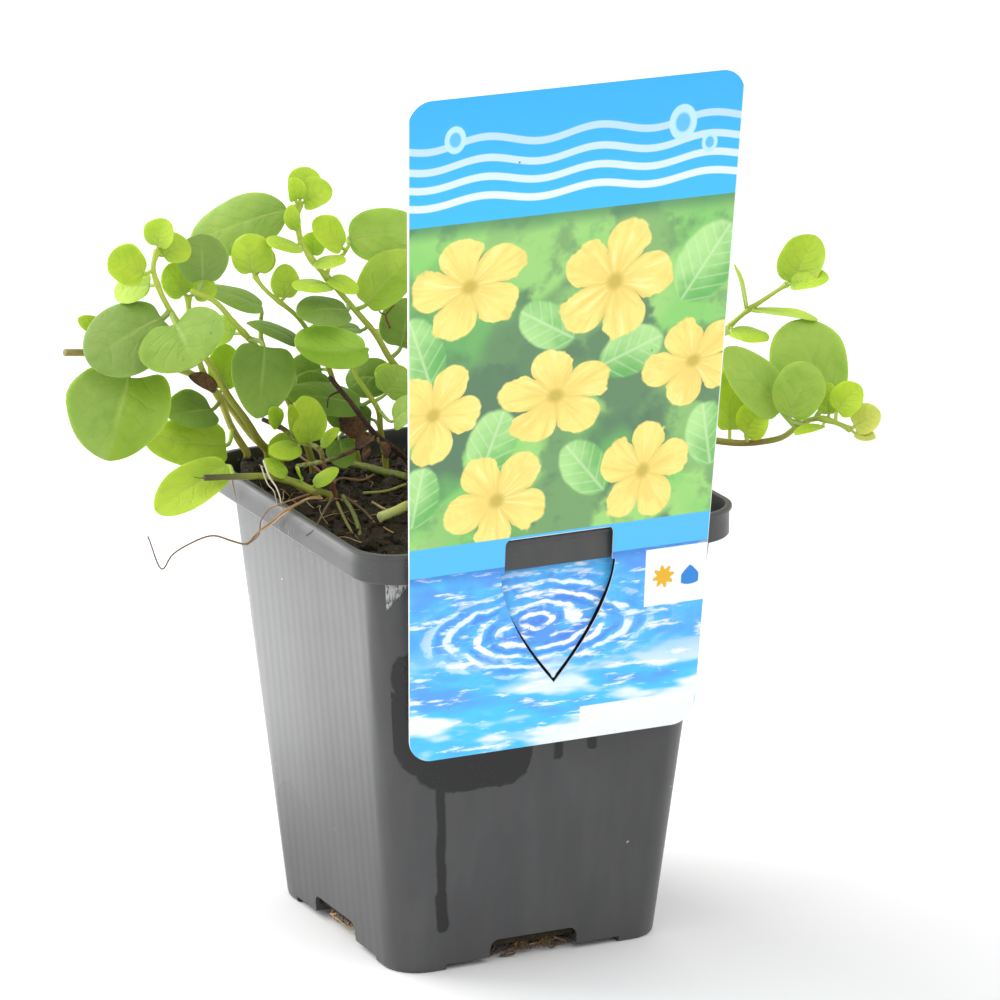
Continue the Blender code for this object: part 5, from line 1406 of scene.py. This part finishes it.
# The card's print: blossoms as middle across and up, radius, turn in degrees and flattening
BLOSSOMS = (
    (-24.5, 63.5, 14.0, 14, 0.82),
    (9.5, 61.0, 14.5, 52, 0.9),
    (29.0, 41.0, 12.5, 20, 0.8),
    (-32.0, 36.0, 12.5, 40, 0.85),
    (-3.5, 37.0, 14.0, 2, 0.78),
    (18.0, 17.5, 12.5, 62, 0.85),
    (-16.5, 15.0, 13.0, 28, 0.9),
)
# Printed leaves: middle, half length, half width and turn in degrees
PRINTED_LEAVES = (
    (31.0, 63.0, 10.5, 7.4, 55),
    (-35.5, 50.0, 9.0, 6.2, 110),
    (-6.0, 53.0, 8.0, 5.6, 150),
    (14.0, 45.0, 8.5, 6.0, 20),
    (-18.0, 28.0, 8.5, 6.4, 70),
    (4.0, 20.0, 8.0, 5.6, 130),
    (33.0, 24.0, 8.0, 5.6, 100),
    (-35.0, 18.0, 7.5, 5.4, 80),
)


def turned(across, up, middle, degrees):
    """Place about a middle, turned by an angle."""
    aside, above = across - middle[0], up - middle[1]
    cos_turn, sin_turn = math.cos(math.radians(degrees)), math.sin(math.radians(degrees))
    return aside * cos_turn + above * sin_turn, above * cos_turn - aside * sin_turn


def printed_leaf(finish, colour, across, up, ripple, leaf):
    """Lays a round printed leaf with a midrib and side veins on the picture so far."""
    middle_x, middle_y, long, wide, degrees = leaf
    along, beside = turned(across, up, (middle_x, middle_y), degrees)
    reach = ((along / long) ** 2.0 + (beside / wide) ** 2.0) ** 0.5
    mask = finish.ease(reach + ripple * 0.3, 1.12, 0.98)
    veins = finish.ease(abs(finish.fraction((along - abs(beside) * 0.8) * 0.34) - 0.5),
                        0.16, 0.0)
    midrib = finish.ease(abs(beside), 0.6, 0.0)
    shade = finish.ease(beside * 0.5 + along * 0.25 + ripple * 9.0, 0.0, 8.0)
    face = finish.mix(shade, linear("58B04C"), linear("B4E890"))
    face = finish.mix(finish.most(veins * 0.3, midrib * 0.5), face, linear("DDF5C0"))
    return finish.mix(mask * 0.92, colour, face)


def blossom(finish, colour, across, up, ripple, petal, flower):
    """Lays an open five-petalled blossom on the picture so far."""
    middle_x, middle_y, radius, degrees, flat = flower
    along, beside = turned(across, up, (middle_x, middle_y), degrees)
    beside = beside / flat
    reach = (along * along + beside * beside) ** 0.5
    angle = finish.maths('ARCTAN2', beside, along)
    fold = abs(finish.sine(angle * 2.5 + ripple * 1.2))
    edge = radius * (0.42 + 0.58 * fold ** 0.42) + ripple * 5.0 - 2.5
    share = reach / edge
    mask = finish.ease(share, 1.0, 0.95)
    streak = finish.cloud(finish.join(angle * 3.2, share * 0.7, middle_x), 1.6, 3.0, 0.6)
    face = finish.mix(finish.ease(share, 0.05, 0.75), linear("F0D264"), petal)
    face = finish.layers(
        face,
        (finish.ease(streak, 0.48, 0.72) * 0.6, "ECC958"),
        (finish.ease(streak, 0.46, 0.3) * 0.6, "FBF4A4"),
        (finish.ease(fold, 0.4, 0.05) * 0.6, "E6C456"),
        (finish.ease(ripple, 0.52, 0.66) * 0.6, "F0D468"),
        (finish.ease(reach, radius * 0.2, radius * 0.06), "C9B23A"))
    return finish.mix(mask, colour, face)


def card_material(look):
    """Glossy printed card: a sky band, flowers and leaves, and rippled water below."""
    card = Finish("label_print")
    spot = card.stored("print")
    across, up, proud = card.split(spot)
    ripple = card.cloud(spot, 0.12, 3.0, 0.6)
    wide = card.cloud(spot, 0.045, 2.0, 0.5)

    patch = card.node("ShaderNodeTexVoronoi", {"feature": 'SMOOTH_F1'},
                      {"Vector": card.join(across + ripple * 14.0, up + ripple * 10.0, 2.0),
                       "Scale": 0.075, "Smoothness": 0.35}, 1)
    level = card.split(patch)[0]
    colour = card.mix(card.ease(level, 0.1, 0.85), linear("46744E"), linear("9AD670"))
    colour = card.layers(
        colour,
        (card.ease(wide, 0.48, 0.62) * 0.55, "6CC858"),
        (card.ease(ripple, 0.5, 0.3) * 0.5, "40684A"),
        (card.ease(up, 73.5, 77.6) * 0.75, "2F7A4C"))
    for leaf in PRINTED_LEAVES:
        colour = printed_leaf(card, colour, across, up, ripple, leaf)
    for flower in BLOSSOMS:
        colour = blossom(card, colour, across, up, ripple, look.petal[:], flower)
    colour = card.mix(0.05, colour, (1.0, 1.0, 0.96))

    band = card.mix(card.ease(up, 76.0, 105.0) * 0.5, look.sky[:], linear("33A6F0"))
    crest = card.sine(across * 0.24 + 0.6) * 2.2
    for level, share in ((82.5, 0.34), (86.5, 0.3), (90.5, 0.26), (95.0, 0.22)):
        gap = abs(up - level - crest * (0.7 - share))
        band = card.mix(card.ease(gap, 0.95, 0.65) * share * 2.4, band, FOAM)
    for drop_x, drop_y, size in ((24.0, 94.5, 3.4), (30.5, 89.5, 2.0), (-29.0, 96.0, 2.6)):
        reach = ((across - drop_x) ** 2.0 + ((up - drop_y) * 0.82) ** 2.0) ** 0.5
        band = card.mix(card.ease(reach, size, size - 0.3), band, linear("BDE8FF"))
        band = card.mix(card.ease(reach, size * 0.62, size * 0.4), band, linear("5FC0F5"))
    colour = card.mix(card.ease(up, 77.55, 77.75), colour, band)

    colour = card.mix(card.ease(up, 6.3, 6.1), colour, linear("55BEF6"))
    low = card.ease(up + ripple * 6.0, -12.0, -30.0)
    water = card.mix(card.ease(ripple, 0.42, 0.62), look.water[:], linear("58B8F8"))
    water = card.mix(0.25 + low * 0.6, water, linear("4CCBFA"))
    swell = card.cloud(card.join(across * 0.035 + up * 0.02, up * 0.11, 7.0), 1.0, 3.0, 0.5)
    water = card.layers(
        water,
        (card.ease(swell, 0.5, 0.36) * 0.6, "5C8CEC"),
        (card.ease(swell, 0.49, 0.59) * low * 0.9, FOAM))
    pool_x, pool_y = across + 5.0, (up + 16.0) * 2.7
    ring = (pool_x * pool_x + pool_y * pool_y) ** 0.5
    rings = card.sine(ring * 1.05 + ripple * 9.0)
    broken = card.cloud(card.join(across * 0.12, up * 0.3, 1.0), 1.0, 3.0, 0.6)
    fade = card.ease(ring, 36.0, 16.0) * card.ease(broken, 0.4, 0.54)
    water = card.layers(
        water,
        (card.ease(rings, 0.15, 0.75) * fade, FOAM),
        (card.ease(rings, -0.2, -0.9) * fade * 0.6, "487CE4"))
    glint = card.cloud(card.join(across * 0.1, up * 0.5, 7.0), 1.0, 4.0, 0.6)
    water = card.layers(
        water,
        (card.ease(glint, 0.55, 0.66) * 0.85, (0.94, 0.98, 1.0)),
        (card.ease(up, -3.2, 0.0) * 0.6, "2E5FBE"))
    colour = card.mix(card.ease(up, -0.2, -0.4), colour, water)

    panel = (card.ease(abs(across - 27.3), 7.6, 7.45) * card.ease(abs(up + 7.5), 6.6, 6.45))
    sun_reach = ((across - 24.2) ** 2.0 + (up + 7.5) ** 2.0) ** 0.5
    rays = card.sine(card.maths('ARCTAN2', up + 7.5, across - 24.2) * 8.0) * 0.5 + 0.5
    sun = card.ease(sun_reach, 1.75 + rays * 1.0, 1.55 + rays * 1.0)
    drop_side = abs(across - 30.6) / (1.0 - (up + 7.9) * 0.28)
    drop = card.ease((drop_side ** 2.0 + (up + 7.9) ** 2.0) ** 0.5, 2.3, 2.1)
    face = card.mix(sun, (0.93, 0.94, 0.93), linear("E8B428"))
    face = card.mix(drop * card.ease(abs(across - 30.6), 2.2, 2.0), face, linear("2B86D8"))
    colour = card.mix(panel, colour, face)
    strip = card.ease(abs(across - 19.2), 13.9, 13.75) * card.ease(up, -34.9, -35.1)
    colour = card.mix(strip, colour, (0.9, 0.93, 0.95))

    edge_left = across - (CARD_MIDDLE - CARD_TOP_HALF + (CARD_TOP - up) * CARD_TAPER)
    edge_right = (CARD_MIDDLE + CARD_TOP_HALF - (CARD_TOP - up) * CARD_TAPER) - across
    rim = card.least(edge_left, edge_right)
    colour = card.mix(card.ease(rim, 0.3, 0.12), colour, (0.92, 0.94, 0.95))
    bare = card.ease(proud, look.thickness / MM * 0.35, look.thickness / MM * 0.25)
    colour = card.mix(bare, colour, (0.88, 0.89, 0.89))
    dirt = card.ease(card.cells(spot, 0.14), 0.05, 0.02) * (card.cloud(spot, 0.4) > 0.6)
    colour = card.mix(dirt * 0.8, colour, linear("3A342C"))
    scuff = card.cloud(spot, 0.5, 4.0, 0.7)
    card.surface(Base_Color=colour, Roughness=0.3 + 0.14 * scuff,
                 Normal=card.bump(card.cloud(spot, 0.03, 1.0), 0.0004),
                 Specular_IOR_Level=0.4)
    return card.material


class JENNY_OT_pot(bpy.types.Operator):
    """Builds the thin square pot with its collar, notches, feet and slot"""

    bl_idname = "jenny.pot"
    bl_label = "Pot"

    def execute(self, context):
        look = context.scene.jenny_pot
        skins = Skins()
        rings = [square_ring(half, radius, z) for half, z, radius in pot_profile()]
        skins.add(rings, [(0, 0, 0), (0, 0, FLOOR_TOP_Z)], (0, 0, 0), (1, 1, 1))
        pot = skins.piece("pot_fine", [pot_material(look)], 30.0)
        cut(pot, pot_cutters())
        smooth_shade(pot.data, 30.0)
        stand_for(pot, "pot")
        return {'FINISHED'}


class JENNY_OT_soil(bpy.types.Operator):
    """Builds the lumpy soil with its loose crumbs and fibres"""

    bl_idname = "jenny.soil"
    bl_label = "Soil"

    def execute(self, context):
        look = context.scene.jenny_soil
        lumps = look.lumps / MM
        dice = np.random.default_rng(21)
        skins = Skins()
        low_z = FLOOR_TOP_Z + GAP
        rings = [square_ring(self.half(FLOOR_TOP_Z) - 1, SOIL_CORNER - 1, low_z, *SOIL_STEPS)]
        rings += [square_ring(self.half(z), SOIL_CORNER, z, *SOIL_STEPS)
                  for z in np.linspace(3.6, 91.0, 12)]
        rim = self.half(COLLAR_BASE_Z)
        for share in np.linspace(1, 0.02, 56):
            half = rim * share
            ring = square_ring(half, SOIL_CORNER * share, 0, *SOIL_STEPS)
            rings.append([(x, y, self.height(x, y, lumps)) for x, y, z in ring])
        ends = [(0, 0, low_z), (0, 0, self.height(0, 0, lumps))]
        skins.add(rings, ends, (0, 0, 0), (1, 1, 1))
        for _ in range(look.grains):
            self.add_crumb(skins, dice, rim, lumps)
        for _ in range(look.fibres):
            self.add_fibre(skins, dice, rim, lumps)
        for radius, code, places in SOIL_ROOTS:
            route = smooth([self.lying(place, lumps) for place in places], 0.8)
            radii = [radius * (1 + 0.25 * noise.noise(spot * 0.9)) for spot in route]
            add_tube(skins, route, radii, 7, linear(code), 1)
        self.add_ledge_crumbs(skins, dice)
        self.add_notch_fibres(skins, dice)
        soil = skins.piece("soil_fine",
                           [soil_material(look), shared("root_tan", root_material)])
        stand_for(soil, "soil")
        return {'FINISHED'}

    @staticmethod
    def half(z):
        """Half the soil's width at height z."""
        return wall_half(z) - WALL_THICKNESS - GAP

    @staticmethod
    def height(x, y, lumps):
        """The soil's height at x, y with its lumps."""
        spot = Vector((x, y, 0.0))
        rough = noise.fractal(spot * 0.35, 1.0, 2.0, 5)
        return soil_height(x, y) + lumps * rough

    def lying(self, place, lumps):
        """The place at a height over the soil that shows at across, up in the view."""
        across, up, lift = place
        near = 0.0
        for _ in range(12):
            spot = seen((across, up, near))
            near += (self.height(spot.x, spot.y, lumps) + lift - spot.z) / TOWARD.z
        return seen((across, up, near))

    def add_crumb(self, skins, dice, rim, lumps):
        """A small uneven crumb that is sunk a little in the soil."""
        x, y = dice.uniform(-rim + 0.8, rim - 0.8, 2)
        size = dice.uniform(0.25, 0.95) * (1.6 if dice.random() < 0.08 else 1.0)
        self.add_lump(skins, dice, np.array([x, y, self.height(x, y, lumps) + size * 0.25]), size)

    def add_ledge_crumbs(self, skins, dice):
        """Soil that has spilled on the ledge under the collar, on all four sides."""
        for _ in range(LEDGE_CRUMBS):
            turn = dice.integers(0, 4) * math.pi / 2
            along, out = dice.uniform(-39, 39), dice.uniform(40.2, 42.6)
            size = dice.uniform(0.35, 0.9)
            x = along * math.cos(turn) - out * math.sin(turn)
            y = along * math.sin(turn) + out * math.cos(turn)
            in_slot = y < 0 and abs(x - WINDOW_MIDDLE) < SLOT_WIDTH / 2 + 1
            if min(abs(x), abs(y)) < 34.5 and not in_slot:
                self.add_lump(skins, dice, np.array([x, y, 94.1 + size * 0.7]), size)

    @staticmethod
    def add_notch_fibres(skins, dice):
        """Roots and soil that show in the drain notches."""
        for side in range(4):
            turn = side * math.pi / 2
            for _ in range(NOTCH_FIBRES):
                across = dice.uniform(-9, 8)
                out = dice.uniform(27.5, 30.5)
                route = []
                for step in range(4):
                    x = across + step * dice.uniform(-1.8, 2.6)
                    z = dice.uniform(0.5, 3.6)
                    reach = -out - dice.uniform(0, 1.2)
                    route.append(Vector((x * math.cos(turn) - reach * math.sin(turn),
                                         x * math.sin(turn) + reach * math.cos(turn), z)))
                route = smooth(route, 0.8)
                tone = linear(("B89868", "8A6A42", "5A4630")[int(dice.integers(0, 3))])
                add_tube(skins, route, np.linspace(0.28, 0.12, len(route)), 5, tone, 1)

    @staticmethod
    def add_lump(skins, dice, centre, size):
        """An uneven lump about a centre."""
        shade = dice.choice(3, p=(0.72, 0.22, 0.06))
        tone = ((0.9, 0.85, 0.8), (1.9, 1.6, 1.3), (5.0, 4.4, 3.4))[shade]
        rings = []
        spin = dice.uniform(0, 6.3)
        stretch = dice.uniform(0.6, 1.4, 3)
        for tilt in (0.25, 0.5, 0.75):
            ring = []
            for step in range(6):
                turn = spin + step * math.pi / 3
                reach = size * math.sin(tilt * math.pi) * dice.uniform(0.75, 1.2)
                ring.append(centre + stretch * (reach * math.cos(turn), reach * math.sin(turn),
                                                size * math.cos(tilt * math.pi)))
            rings.append(ring)
        ends = [centre + (0, 0, size * stretch[2]), centre - (0, 0, size * stretch[2])]
        skins.add(rings, ends, (0, 0, 0), tone)

    def add_fibre(self, skins, dice, rim, lumps):
        """A thin fibre or rootlet that lies over the soil."""
        x, y = dice.uniform(-rim + 3, rim - 3, 2)
        turn = dice.uniform(0, 2 * math.pi)
        points = []
        for _ in range(int(dice.integers(3, 7))):
            x = min(max(x, -rim + 1), rim - 1)
            y = min(max(y, -rim + 1), rim - 1)
            points.append(Vector((x, y, self.height(x, y, lumps) + dice.uniform(0.0, 1.1))))
            turn += dice.uniform(-0.8, 0.8)
            x += 2.6 * math.cos(turn)
            y += 2.6 * math.sin(turn)
        if len({tuple(round(c, 3) for c in point) for point in points}) < len(points):
            return
        route = smooth(points, 1.0)
        radii = np.linspace(dice.uniform(0.1, 0.22), 0.05, len(route))
        tone = linear(("8A6A42", "B08A58", "5A3C24", "C8B48A")[int(dice.integers(0, 4))])
        add_tube(skins, route, radii, 5, tone, 1)


class JENNY_OT_card(bpy.types.Operator):
    """Builds the label card, its tongue over the rim and its print"""

    bl_idname = "jenny.card"
    bl_label = "Label card"

    def execute(self, context):
        look = context.scene.jenny_card
        material = card_material(look)
        mesh, points = card_sheet(look)
        store(mesh, "print", points)
        card = settle("label_fine", mesh, [material], 40.0)
        rings, ends, values = tongue_skin(look)
        skins = Skins()
        skins.add(rings, ends, values, (1, 1, 1))
        tongue = skins.piece("label_tongue", [material], 40.0)
        store(tongue.data, "print", values)
        stand_for(card, "label")
        stand_for(tongue, "label")
        return {'FINISHED'}


class JENNY_OT_stems(bpy.types.Operator):
    """Builds the stems with their side twigs and young leaves"""

    bl_idname = "jenny.stems"
    bl_label = "Stems"

    def execute(self, context):
        look = context.scene.jenny_plant
        dice = np.random.default_rng(look.seed)
        finishes = [shared("leaf_fresh", leaf_material), shared("stem_green", stem_material),
                    shared("withered_brown", withered_material)]
        routes = stem_routes()
        for name, paths in routes.items():
            low, high = (STEMS.get(name) or BACK_STEMS[name])[:2]
            old = name.startswith("stem_old")
            skins = Skins()
            young = self.young_of(name, paths)
            for index, path in enumerate(paths):
                foot = [path[0] - Vector((0, 0, 3.5))] if index == 0 else []
                route = smooth(foot + path, STEM_STEP)
                ends = (low, high) if index == 0 else (high, high * 0.8)
                ends = [radius * THINNER.get(name, 0.92) for radius in ends]
                radii = self.radii(route, ends, [leaf["node"] for leaf in young])
                tone = self.tones(name, len(route), index > 0)
                add_tube(skins, route, radii, STEM_SIDES, tone, 2 if old else 1)
            for stem, radius, code, places in DRY_TWIGS:
                if stem == name:
                    twig = smooth([seen(place) for place in places], 0.6)
                    add_tube(skins, twig, np.linspace(radius, radius * 0.5, len(twig)), 6,
                             linear(code), 2)
            for base, tip, width, face, cup in DRY_BLADES if name == "stem_old_brown" else ():
                blade = leaf_frame(nearest(paths, seen(base)), seen(base),
                                   seen(tip), width, facing(face), cup, 0.6)
                add_leaf(skins, blade, TONES["withered"], look, dice, 0.2, 2)
            for leaf in young:
                shift = dice.uniform(0.9, 1.1)
                key = "mid" if name in BACK_STEMS else "young"
                if name == "stem_runner_right" and leaf["tip"].x > PALE_FROM_X:
                    key = "pale"
                tones = [tuple(c * shift for c in tone) for tone in TONES[key][:2]]
                add_leaf(skins, leaf, (*tones, TONES[key][2]), look, dice)
            piece = skins.piece(name + "_fine", finishes)
            stand_for(piece, name)
        return {'FINISHED'}

    @staticmethod
    def young_of(name, paths):
        """The stem's small leaves, from the table of young leaves or of hidden pairs."""
        if name in BACK_STEMS:
            return pairs_of(name, smooth(paths[0], PAIR_STEP))
        routes = [smooth(path, PAIR_STEP) for path in paths]
        leaves = []
        for stem, base, tip, width, face, cup, arch in YOUNG_LEAVES:
            if stem == name:
                place = seen(base)
                leaves.append(leaf_frame(nearest(routes, place), place, seen(tip), width,
                                         facing(face), cup, arch))
        return leaves

    @staticmethod
    def radii(route, ends, nodes):
        """Radii along a stem, thicker at the nodes where leaves grow."""
        radii = np.linspace(ends[0], ends[1], len(route))
        for index, place in enumerate(route):
            for node in nodes:
                radii[index] *= 1 + 0.3 * math.exp(-((place - node).length / 1.1) ** 2)
            radii[index] *= 1 + 0.06 * noise.noise(place * 0.6)
        return radii

    @staticmethod
    def tones(name, count, twig):
        """Colours along a stem or a side twig, from its own list or the usual ones."""
        codes = STEM_TONES.get(name, ("9E963C", "A6A83C", "B2C246", "B6C848"))
        share = np.linspace(0.5 if twig else 0, 1, count)
        spots = np.linspace(0, 1, len(codes))
        parts = np.array([linear(code) for code in codes])
        return np.stack([np.interp(share, spots, parts[:, part]) for part in range(3)], 1)


class JENNY_OT_leaves(bpy.types.Operator):
    """Builds the large leaves, each on its stalk"""

    bl_idname = "jenny.leaves"
    bl_label = "Leaves"

    def execute(self, context):
        look = context.scene.jenny_plant
        dice = np.random.default_rng(look.seed + 1)
        fresh = [shared("leaf_fresh", leaf_material), shared("stem_green", stem_material)]
        dry = [shared("withered_brown", withered_material)] * 2
        routes = stem_routes()
        for name, stem, base, tip, width, face, cup, arch, tip_shape, key in OWN_LEAVES:
            place = seen(base)
            paths = [smooth(path, PAIR_STEP) for path in routes[stem]]
            leaf = leaf_frame(nearest(paths, place), place, seen(tip), width, facing(face),
                              cup, arch, tip_shape)
            skins = Skins()
            add_leaf(skins, leaf, TONES[key], look, dice, LOBE_SHARES.get(name, 0.5))
            piece = skins.piece(name + "_fine", dry if key == "withered" else fresh)
            stand_for(piece, name)
        return {'FINISHED'}


class JENNY_OT_roots(bpy.types.Operator):
    """Builds the root that hangs over the left rim"""

    bl_idname = "jenny.roots"
    bl_label = "Roots"

    def execute(self, context):
        skins = Skins()
        route = smooth([seen(point) for point in ROOT_ROUTE], 1.0)
        share = np.linspace(0, 1, len(route))
        radii = ROOT_RADII[0] + (ROOT_RADII[1] - ROOT_RADII[0]) * share ** 0.5
        tone = (np.array(linear("B08A5A"))[None] * (1 - share[:, None])
                + np.array(linear("5E4632"))[None] * share[:, None])
        add_tube(skins, route, radii * 0.8, 8, tone)
        for radius, code, places in FINE_ROOTS:
            fine = smooth([seen(place) for place in places], 0.8)
            share = np.linspace(0, 1, len(fine))
            add_tube(skins, fine, radius * (1 - 0.6 * share), 6, linear(code))
        root = skins.piece("hanging_root_fine", [shared("root_tan", root_material)])
        stand_for(root, "hanging_root")
        return {'FINISHED'}


class JENNY_OT_stage(bpy.types.Operator):
    """Sets the floor, the soft light and the camera"""

    bl_idname = "jenny.stage"
    bl_label = "Stage"

    def execute(self, context):
        look = context.scene.jenny_stage
        self.add_floor(look)
        self.add_light("side_light", (-1.5, 0.2, 1.0), (1.4, 1.4), look.key)
        self.add_light("front_light", (0.3, -1.5, 1.6), (1.2, 1.2), look.fill)
        self.add_light("back_light", (-0.62, 0.85, 0.62), (1.0, 0.8), look.back)
        self.add_spot("floor_light", (-0.14, 0.26, 0.5), (-0.1, 0.175, 0.0), look.pool)
        world = bpy.data.worlds.new("surround")
        world.use_nodes = True
        back = world.node_tree.nodes["Background"]
        back.inputs["Color"].default_value = (1, 1, 1, 1)
        back.inputs["Strength"].default_value = look.sky
        context.scene.world = world
        context.scene.view_settings.view_transform = 'Standard'
        self.add_camera(context.scene)
        return {'FINISHED'}

    @staticmethod
    def add_floor(look):
        floor = Finish("floor_paper")
        grain = floor.cloud(floor.place(), 0.02, 2.0)
        shade = floor.mix(grain * 0.05, look.floor[:], (0.85, 0.85, 0.85))
        floor.surface(Base_Color=shade, Roughness=0.7, Specular_IOR_Level=0.2)
        bm = bmesh.new()
        bmesh.ops.create_grid(bm, x_segments=2, y_segments=2, size=6.0)
        mesh = bpy.data.meshes.new("floor")
        bm.to_mesh(mesh)
        bm.free()
        mesh.materials.append(floor.material)
        show("floor", mesh)

    def add_light(self, name, place, size, power):
        data = bpy.data.lights.new(name, 'AREA')
        data.shape = 'RECTANGLE'
        data.size, data.size_y = size
        self.hang(data, place, VIEW_CENTRE * MM, power)

    def add_spot(self, name, place, target, power):
        data = bpy.data.lights.new(name, 'SPOT')
        data.spot_size = math.radians(26)
        data.spot_blend = 0.8
        data.shadow_soft_size = 0.03
        self.hang(data, place, Vector(target), power)

    @staticmethod
    def hang(data, place, target, power):
        data.energy = power
        lamp = show(data.name, data)
        lamp.location = place
        aim = target - Vector(place)
        lamp.rotation_euler = aim.to_track_quat('-Z', 'Y').to_euler()

    @staticmethod
    def add_camera(scene):
        data = bpy.data.cameras.new("photo_view")
        data.sensor_width = VIEW_SENSOR
        data.lens = VIEW_LENS
        data.clip_end = 20.0
        camera = show("photo_view", data)
        right = RIGHT * math.cos(VIEW_ROLL) + UP * math.sin(VIEW_ROLL)
        up = UP * math.cos(VIEW_ROLL) - RIGHT * math.sin(VIEW_ROLL)
        place = Matrix((right, up, TOWARD)).transposed().to_4x4()
        place.translation = (VIEW_CENTRE + TOWARD * VIEW_DISTANCE) * MM
        camera.matrix_world = place
        scene.camera = camera


OPERATORS = (JENNY_OT_pot, JENNY_OT_soil, JENNY_OT_card, JENNY_OT_stems, JENNY_OT_leaves,
             JENNY_OT_roots, JENNY_OT_stage)
LOOKS = (("jenny_pot", PotLook), ("jenny_soil", SoilLook), ("jenny_card", CardLook),
         ("jenny_plant", PlantLook), ("jenny_stage", StageLook))


class JENNY_PT_plant(bpy.types.Panel):
    """Lists the pieces of the plant and their settings"""

    bl_idname = "JENNY_PT_plant"
    bl_label = "Creeping jenny"
    bl_space_type = 'VIEW_3D'
    bl_region_type = 'UI'
    bl_category = "Plant"

    def draw(self, context):
        for operator in OPERATORS:
            self.layout.operator(operator.bl_idname)
        for name, group in LOOKS:
            look = getattr(context.scene, name)
            box = self.layout.box()
            for key in group.__annotations__:
                box.prop(look, key)


def register():
    for name, group in LOOKS:
        bpy.utils.register_class(group)
        setattr(bpy.types.Scene, name, PointerProperty(type=group))
    for item in (*OPERATORS, JENNY_PT_plant):
        bpy.utils.register_class(item)


def unregister():
    for item in reversed((*OPERATORS, JENNY_PT_plant)):
        bpy.utils.unregister_class(item)
    for name, group in reversed(LOOKS):
        delattr(bpy.types.Scene, name)
        bpy.utils.unregister_class(group)


def main():
    register()
    bpy.ops.jenny.pot()
    bpy.ops.jenny.soil()
    bpy.ops.jenny.card()
    bpy.ops.jenny.stems()
    bpy.ops.jenny.leaves()
    bpy.ops.jenny.roots()
    bpy.ops.jenny.stage()
    bpy.context.view_layer.update()


if __name__ == "__main__":
    main()
